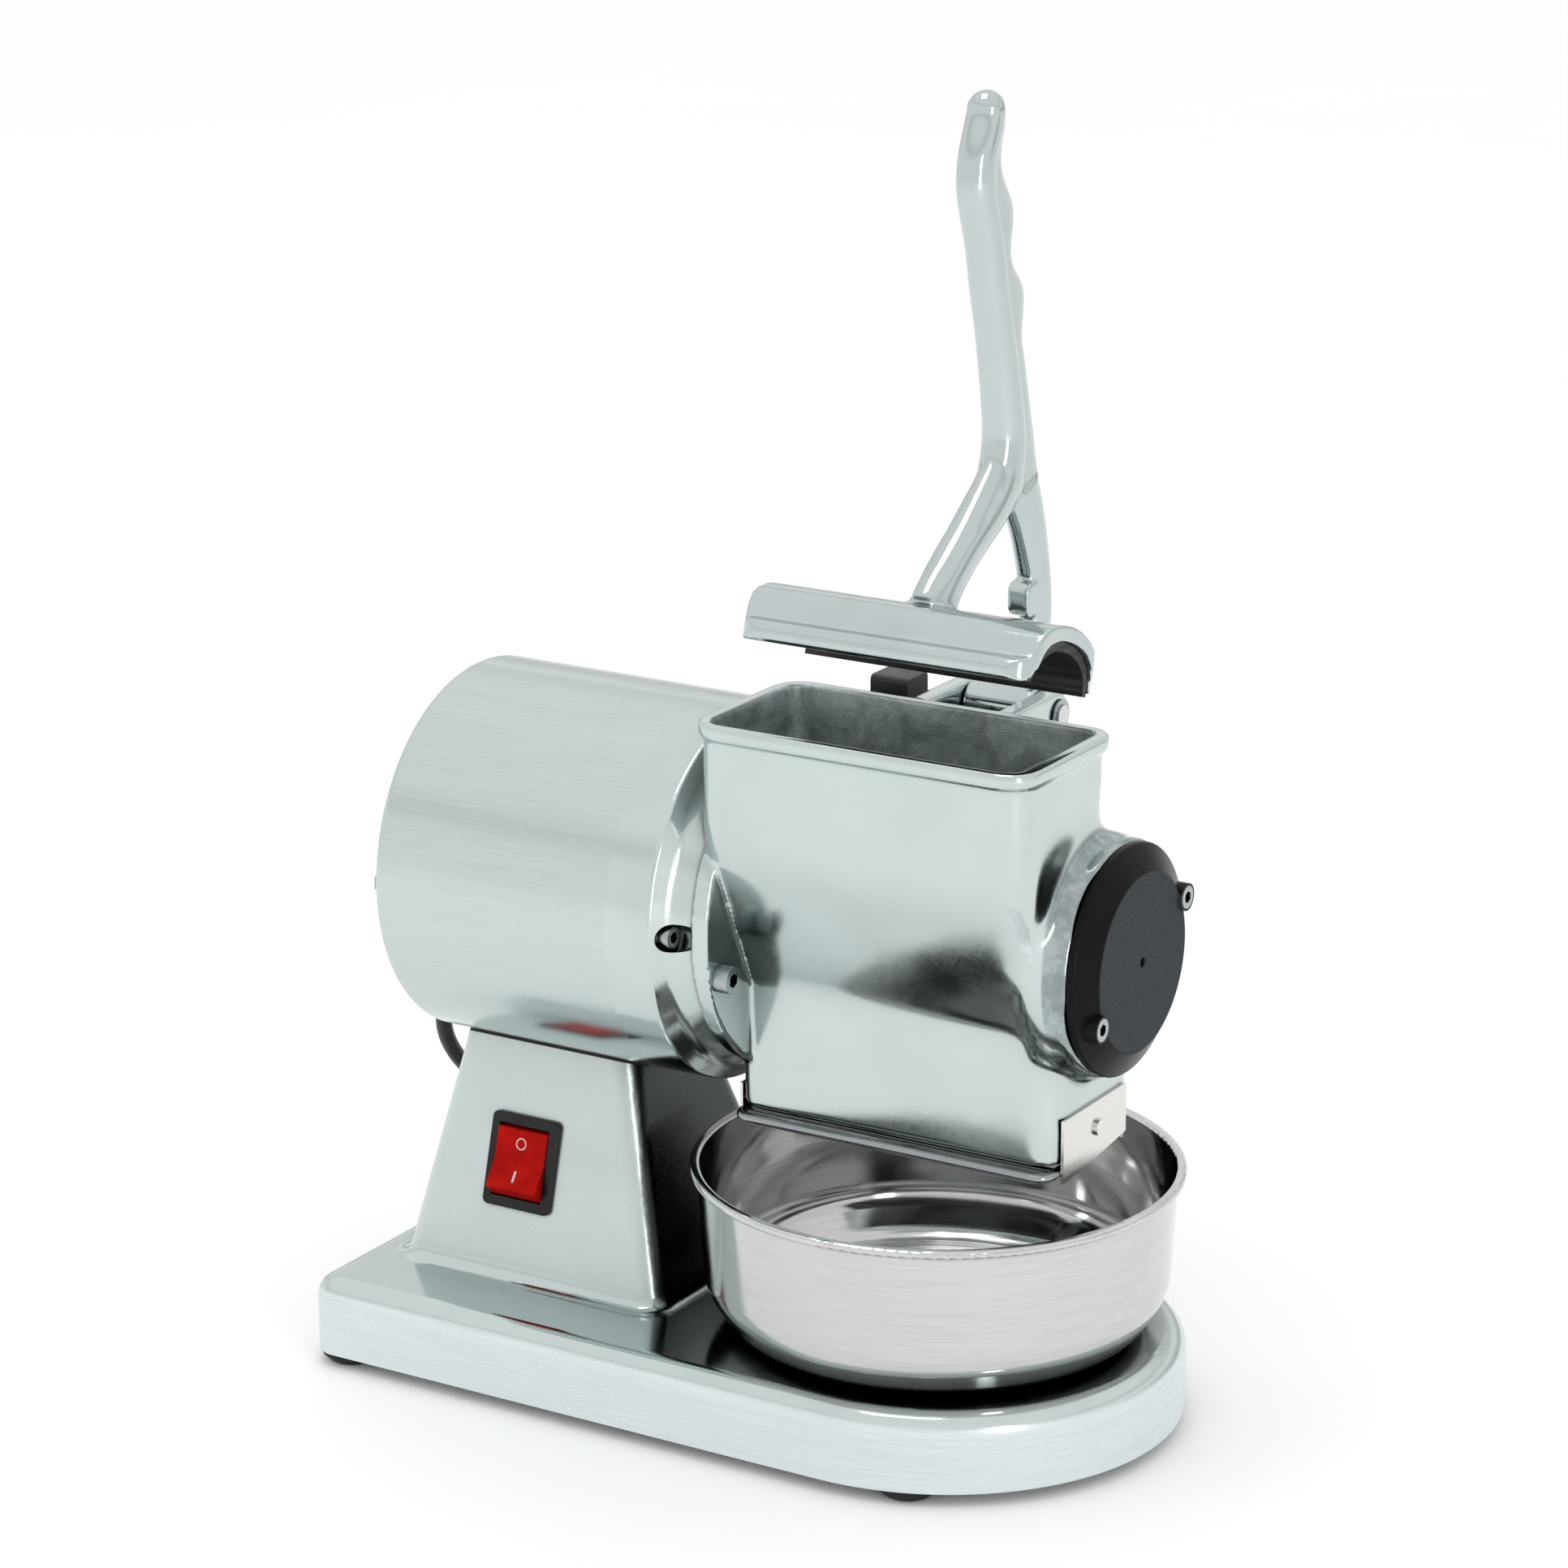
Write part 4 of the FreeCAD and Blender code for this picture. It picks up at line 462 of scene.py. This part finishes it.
PLUG_AT = Vector((-0.006, 0.163, 0.0184))
PLUG_WAY = Vector((0.94, -0.34, 0)).normalized()


def coil_points():
    """Five turns, three below and two in the grooves above, wound clockwise."""
    points = []
    steps = POINTS_A_TURN * len(TURNS)
    for i in range(1, steps + 5):
        turn = i / POINTS_A_TURN
        index = min(int(turn), len(TURNS) - 1)
        share = turn - index
        blend = max(0.0, min(1.0, (share - 0.7) / 0.3))
        after = TURNS[min(index + 1, len(TURNS) - 1)]
        row = TURNS[index][0] * (1 - blend) + after[0] * blend
        layer = TURNS[index][1] * (1 - blend) + after[1] * blend
        radius = COIL_MID + PITCH * row
        angle = math.pi - 2 * math.pi * turn
        points.append(COIL_CENTRE + Vector((radius * math.cos(angle),
                                            radius * math.sin(angle),
                                            CORD_RADIUS + LAYER_RISE * layer)))
    return points


def nurbs(name, points, radius, material):
    curve = bpy.data.curves.new(name, "CURVE")
    curve.dimensions = "3D"
    spline = curve.splines.new("NURBS")
    spline.points.add(len(points) - 1)
    for target, point in zip(spline.points, points):
        target.co = (*point, 1)
    spline.order_u = 3
    spline.use_endpoint_u = True
    spline.resolution_u = 8
    curve.bevel_depth = radius
    curve.bevel_resolution = 6
    curve.use_fill_caps = True
    curve.materials.append(material)
    made = bpy.data.objects.new(name, curve)
    bpy.context.scene.collection.objects.link(made)
    return made


neck_end = PLUG_AT - PLUG_WAY * 0.034
lead = [Vector(p) for p in [(-0.072, 0.1890, 0.0105), (-0.060, 0.1830, 0.0125),
                            (-0.050, 0.1790, 0.0165)]]
cord_points = [CORD_START] + [Vector(p) for p in ROUTE] + coil_points() + lead
cord_points.append(neck_end + PLUG_WAY * 0.004)
cord = nurbs("mains_cord", cord_points, CORD_RADIUS, MAT["cord_jacket"])
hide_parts("power_cord", "power_cord_coil")
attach(cord, "machine")


def measured(points):
    """Length of the cord's smooth line."""
    mesh = bpy.data.meshes.new_from_object(
        nurbs("cord_measure", points, 0, MAT["cord_jacket"]))
    length = sum((mesh.vertices[e.vertices[0]].co - mesh.vertices[e.vertices[1]].co).length
                 for e in mesh.edges)
    bpy.data.objects.remove(bpy.data.objects["cord_measure"])
    return length


def turned_piece(name, profile, origin, way, material, sides=48):
    """A solid of revolution: (distance along the way, radius) pairs, closed at both ends."""
    turn = way.to_track_quat("Z", "Y").to_matrix()

    def build(bm):
        rows = []
        for along, radius in profile:
            rows.append([bm.verts.new(origin + turn @ Vector((
                radius * math.cos(2 * math.pi * k / sides),
                radius * math.sin(2 * math.pi * k / sides), along))) for k in range(sides)])
        for low, high in zip(rows, rows[1:]):
            for k in range(sides):
                bm.faces.new((low[k], low[(k + 1) % sides], high[(k + 1) % sides], high[k]))
        bm.faces.new(list(reversed(rows[0])))
        bm.faces.new(rows[-1])
    made = add_mesh(name, build, material)
    crisp = made.modifiers.new("crisp", "EDGE_SPLIT")
    crisp.split_angle = math.radians(40)
    return made


NECK_RIBS = 6
ribs = []
for rib in range(NECK_RIBS):
    at, wide = -0.034 + 0.0034 * rib, 0.0048 + 0.00035 * rib
    ribs += [(at, wide - 0.0012), (at + 0.0003, wide), (at + 0.0019, wide),
             (at + 0.0022, wide - 0.0012)]
plug_profile = ribs + [(-0.0136, 0.0060), (-0.0120, 0.0085), (-0.0100, 0.0118), (-0.0060, 0.0150),
                       (-0.0020, 0.0172), (0.0010, 0.0181), (0.0040, 0.0183), (0.0050, 0.0176),
                       (0.0062, 0.0176), (0.0072, 0.0183), (0.0180, 0.0183), (0.0194, 0.0179),
                       (0.0200, 0.0170), (0.0200, 0.0135), (0.0192, 0.0130), (0.0192, 0.0004)]
plug = turned_piece("mains_plug", plug_profile, PLUG_AT, PLUG_WAY, MAT["plug_plastic"])
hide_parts("power_plug")
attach(plug, "machine")
PIN_PROFILE = [(0.0185, 0.0024), (0.0375, 0.0024), (0.0385, 0.0020), (0.0390, 0.0010)]
PLUG_SIDE = Vector((-PLUG_WAY.y, PLUG_WAY.x, 0))
for number, offset in enumerate((-0.0095, 0.0095)):
    pin = turned_piece("plug_pin_%d" % number, PIN_PROFILE, PLUG_AT + PLUG_SIDE * offset,
                       PLUG_WAY, MAT["bush_brass"], 24)
    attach(pin, "machine")

CORD_LENGTH = measured(cord_points)
print("cord length %.3f m" % CORD_LENGTH)

# ----------------------------------------------------------------------------
# Press lever: the casting with its junctions blended as a polisher leaves them
# ----------------------------------------------------------------------------


ELBOW = [(0.0290, 0.424, 0.0071, 0.0071), (0.0345, 0.402, 0.0075, 0.0074),
         (0.0392, 0.381, 0.0080, 0.0078), (0.0412, 0.366, 0.0088, 0.0081),
         (0.0385, 0.353, 0.0094, 0.0083), (0.0305, 0.344, 0.0093, 0.0083),
         (0.0195, 0.337, 0.0089, 0.0081), (0.0075, 0.3295, 0.0087, 0.0079),
         (-0.0040, 0.3210, 0.0090, 0.0079), (-0.0110, 0.3135, 0.0100, 0.0082)]
LEVER_MIDDLE = 0.068


def between(stations, samples):
    """Points on a smooth line through the stations (Catmull-Rom)."""
    dense = []
    for i in range(len(stations) - 1):
        a, b, c, d = (Vector(stations[max(0, min(len(stations) - 1, i + k))])
                      for k in (-1, 0, 1, 2))
        for step in range(samples):
            t = step / samples
            dense.append(0.5 * (2 * b + (c - a) * t + (2 * a - 5 * b + 4 * c - d) * t ** 2
                                + (3 * b - a - 3 * c + d) * t ** 3))
    return dense + [Vector(stations[-1])]


def add_elbow(bm, sides=28):
    """Oval bar that carries the handle's front on into its front leg in one curve."""
    dense = between(ELBOW, 6)
    rows = []
    for i, (y, z, deep, wide) in enumerate(dense):
        before, after = dense[max(i - 1, 0)], dense[min(i + 1, len(dense) - 1)]
        way = Vector((0, after[0] - before[0], after[1] - before[1])).normalized()
        out = way.cross(Vector((1, 0, 0)))
        centre = Vector((LEVER_MIDDLE, y, z))
        rows.append([bm.verts.new(centre + out * deep * math.sin(2 * math.pi * k / sides)
                                  + Vector((wide * math.cos(2 * math.pi * k / sides), 0, 0)))
                     for k in range(sides)])
    for low, high in zip(rows, rows[1:]):
        for k in range(sides):
            bm.faces.new((low[k], low[(k + 1) % sides], high[(k + 1) % sides], high[k]))
    bm.faces.new(list(reversed(rows[0])))
    bm.faces.new(rows[-1])


def blended_copy(name, node, voxel, rounds, extra=None, flow=None, flow_rounds=0):
    """The node's own mesh, rebuilt evenly and relaxed, so that its edges flow together.

    extra adds to the mesh first; flow gives the share (0 to 1) by which a point joins in
    the flow_rounds of further relaxing.
    """
    joined = bmesh.new()
    joined.from_mesh(nodes[node].data)
    if extra:
        extra(joined)
    start = bpy.data.meshes.new(name + "_start")
    joined.to_mesh(start)
    joined.free()
    made = bpy.data.objects.new(name, start)
    bpy.context.scene.collection.objects.link(made)
    even = made.modifiers.new("even", "REMESH")
    even.mode = "VOXEL"
    even.voxel_size = voxel
    relax = made.modifiers.new("relax", "SMOOTH")
    relax.factor = 0.5
    relax.iterations = rounds
    depsgraph = bpy.context.evaluated_depsgraph_get()
    mesh = bpy.data.meshes.new_from_object(made.evaluated_get(depsgraph))
    made.modifiers.clear()
    made.data = mesh
    mesh.shade_smooth()
    if flow:
        group = made.vertex_groups.new(name="flow")
        for vertex in mesh.vertices:
            share = flow(vertex.co)
            if share > 0:
                group.add([vertex.index], share, "REPLACE")
        melt = made.modifiers.new("melt", "SMOOTH")
        melt.vertex_group = "flow"
        melt.factor = 0.5
        melt.iterations = flow_rounds
    return made


lever = blended_copy("lever_casting_blended", "press_lever", 0.0008, 5, add_elbow)
lever.data.materials.clear()
lever.data.materials.append(MAT["lever_casting"])
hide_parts("press_lever")
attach(lever, "lever")

# ----------------------------------------------------------------------------
# Hopper casting: its body flows into the round collar
# ----------------------------------------------------------------------------

AXIS_HEIGHT = 0.191
COLLAR_RADIUS = 0.0458


def eased(value, low, high):
    """0 below low, 1 above high, smooth between."""
    share = max(0.0, min(1.0, (value - low) / (high - low)))
    return share * share * (3 - 2 * share)


def near_collar(point):
    """Share of the collar's root: outside the bore, behind the collar's own ring."""
    off_axis = math.hypot(point.y, point.z - AXIS_HEIGHT)
    outside = eased(off_axis, 0.0418, 0.0435)
    close = 1 - eased(off_axis, COLLAR_RADIUS + 0.008, COLLAR_RADIUS + 0.021)
    along = eased(point.x, 0.100, 0.116) * (1 - eased(point.x, 0.1350, 0.1375))
    return outside * close * along


def near_bends(point):
    """Share of the front's two level bends, above and below the belly."""
    crease = 1 - eased(abs(point.z - CREASE_HEIGHT), 0.009, 0.022)
    shoulder = 1 - eased(abs(point.z - SHOULDER_HEIGHT), 0.009, 0.022)
    front = 1 - eased(point.y, -0.024, -0.018)
    between_ends = eased(point.x, 0.006, 0.013)
    return max(crease, shoulder) * front * between_ends


CREASE_HEIGHT = 0.167
SHOULDER_HEIGHT = 0.230
hopper = blended_copy("hopper_casting_blended", "hopper_casting", 0.0011, 6,
                      flow=lambda point: max(near_collar(point), near_bends(point)),
                      flow_rounds=140)
hopper.data.materials.clear()
hopper.data.materials.append(MAT["hopper_casting"])
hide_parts("hopper_casting")
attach(hopper, "machine")

# ----------------------------------------------------------------------------
# Off and on marks on the rocker
# ----------------------------------------------------------------------------

SWITCH_LEAN = math.radians(15)
ROCKER_TILT = math.radians(10)
SWITCH_CENTRE = Vector((-0.093, -0.0412102, 0.079))
ROCKER_PIVOT = Vector((0, 0.0015, 0))
ROCKER_FRAME = (Matrix.Translation(SWITCH_CENTRE) @ Matrix.Rotation(-SWITCH_LEAN, 4, "X")
                @ Matrix.Translation(ROCKER_PIVOT) @ Matrix.Rotation(-ROCKER_TILT, 4, "X")
                @ Matrix.Translation(-ROCKER_PIVOT))
MARK_PAINT = Shader("mark_paint", (0.62, 0.50, 0.48), roughness=0.45)
MARK_PAINT.color(MARK_PAINT.mix_color(MARK_PAINT.band(MARK_PAINT.noise(900, 3), 0.35, 0.7),
                                      (0.64, 0.50, 0.48), (0.50, 0.36, 0.34)))


def rocker_mark(name, loop, up):
    """A raised bead along a loop of (across, up) points, on the rocker's face at height up."""
    slope = math.atan2(0.002, 0.0117) * (1 if up > 0 else -1)
    face = Matrix.Translation(Vector((0, -0.003 - 0.002 * abs(up) / 0.0117 - 0.00012, up))) \
        @ Matrix.Rotation(slope, 4, "X")
    place = ROCKER_FRAME @ face

    def build(bm):
        around, sides = len(loop), 8
        rows = []
        for i, (x, z) in enumerate(loop):
            before, after = loop[i - 1], loop[(i + 1) % around]
            way = Vector((after[0] - before[0], 0, after[1] - before[1])).normalized()
            side = way.cross(Vector((0, 1, 0)))
            row = []
            for k in range(sides):
                angle = 2 * math.pi * k / sides
                offset = side * 0.0003 * math.cos(angle) + Vector((0, -0.00015, 0)) * math.sin(angle)
                row.append(bm.verts.new(place @ (Vector((x, 0, z)) + offset)))
            rows.append(row)
        for i in range(around):
            for k in range(sides):
                bm.faces.new((rows[i][k], rows[i][(k + 1) % sides],
                              rows[(i + 1) % around][(k + 1) % sides], rows[(i + 1) % around][k]))
    made = add_mesh(name, build, MARK_PAINT.material)
    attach(made, "rocker")


STEPS = 40
ring = [(0.0021 * math.cos(2 * math.pi * i / STEPS), 0.0021 * math.sin(2 * math.pi * i / STEPS))
        for i in range(STEPS)]
bar = [(0.00022 * math.cos(2 * math.pi * i / STEPS),
        0.0019 * math.copysign(1, math.sin(2 * math.pi * (i + 0.5) / STEPS))
        + 0.00022 * math.sin(2 * math.pi * i / STEPS)) for i in range(STEPS)]
rocker_mark("rocker_off_ring", ring, 0.0064)
rocker_mark("rocker_on_bar", bar, -0.0064)

# ----------------------------------------------------------------------------
# Floor and light
# ----------------------------------------------------------------------------

floor_shader = Shader("floor_white", (0.9, 0.9, 0.9), roughness=0.75)
floor_shader.color(floor_shader.mix_color(floor_shader.noise(3, 2), (0.90, 0.90, 0.90),
                                          (0.88, 0.88, 0.88)))
floor = add_mesh("floor", lambda bm: bmesh.ops.create_circle(
    bm, cap_ends=True, radius=14, segments=64), floor_shader.material, smooth=False)
floor.location = (0, 0, -0.0002)


def area_light(name, place, target, size, power, color=(1, 1, 1)):
    data = bpy.data.lights.new(name, "AREA")
    data.shape = "RECTANGLE"
    data.size, data.size_y = size
    data.energy = power
    data.color = color
    light = bpy.data.objects.new(name, data)
    light.location = place
    way = Vector(target) - Vector(place)
    light.rotation_euler = way.to_track_quat("-Z", "Y").to_euler()
    bpy.context.scene.collection.objects.link(light)
    return light


MIDDLE = (0, 0, 0.2)
key = area_light("key", (-1.5, -1.6, 2.1), MIDDLE, (1.2, 1.2), 5)
key.visible_glossy = False
area_light("side", (2.0, -1.25, 0.45), MIDDLE, (0.35, 1.3), 9)
area_light("top", (-0.3, -0.1, 2.4), MIDDLE, (1.4, 0.9), 6)

FLOOR_LIGHT = 1.1
world = bpy.data.worlds.new("studio")
world.use_nodes = True
bpy.context.scene.world = world
tree = world.node_tree
background = tree.nodes["Background"]
background.inputs["Color"].default_value = (1, 1, 1, 1)
coords = tree.nodes.new("ShaderNodeTexCoord")
split = tree.nodes.new("ShaderNodeSeparateXYZ")
tree.links.new(coords.outputs["Generated"], split.inputs[0])


def world_math(operation, *values):
    made = tree.nodes.new("ShaderNodeMath")
    made.operation = operation
    for socket, value in zip(made.inputs, values):
        if isinstance(value, (int, float)):
            socket.default_value = value
        else:
            tree.links.new(value, socket)
    return made.outputs[0]


def world_band(value, low, high, to_low, to_high):
    made = tree.nodes.new("ShaderNodeMapRange")
    made.interpolation_type = "SMOOTHSTEP"
    for key, number in (("From Min", low), ("From Max", high),
                        ("To Min", to_low), ("To Max", to_high)):
        made.inputs[key].default_value = number
    tree.links.new(value, made.inputs["Value"])
    return made.outputs["Result"]


def studio_walls():
    """Brightness of the room: pale, with a dark gap low behind and a dim strip in front."""
    across, along, up = split.outputs
    behind = world_math("MULTIPLY", world_band(along, 0.1, 0.6, 0, 1),
                        world_band(up, 0.1, 0.3, 1, 0))
    strip = world_math("MULTIPLY", world_band(up, 0.30, 0.42, 0, 1),
                       world_band(up, 0.42, 0.60, 1, 0))
    walls = world_math("SUBTRACT", 1.0, world_math("MULTIPLY", behind, 0.35))
    return world_math("SUBTRACT", walls, world_math("MULTIPLY", strip, 0.18))


mirrored = tree.nodes.new("ShaderNodeLightPath").outputs["Is Glossy Ray"]
plain = world_math("MULTIPLY", world_math("SUBTRACT", 1.0, mirrored), FLOOR_LIGHT)
seen = world_math("MULTIPLY", mirrored, studio_walls())
tree.links.new(world_math("ADD", plain, seen), background.inputs["Strength"])
bpy.context.scene.view_settings.view_transform = "Standard"
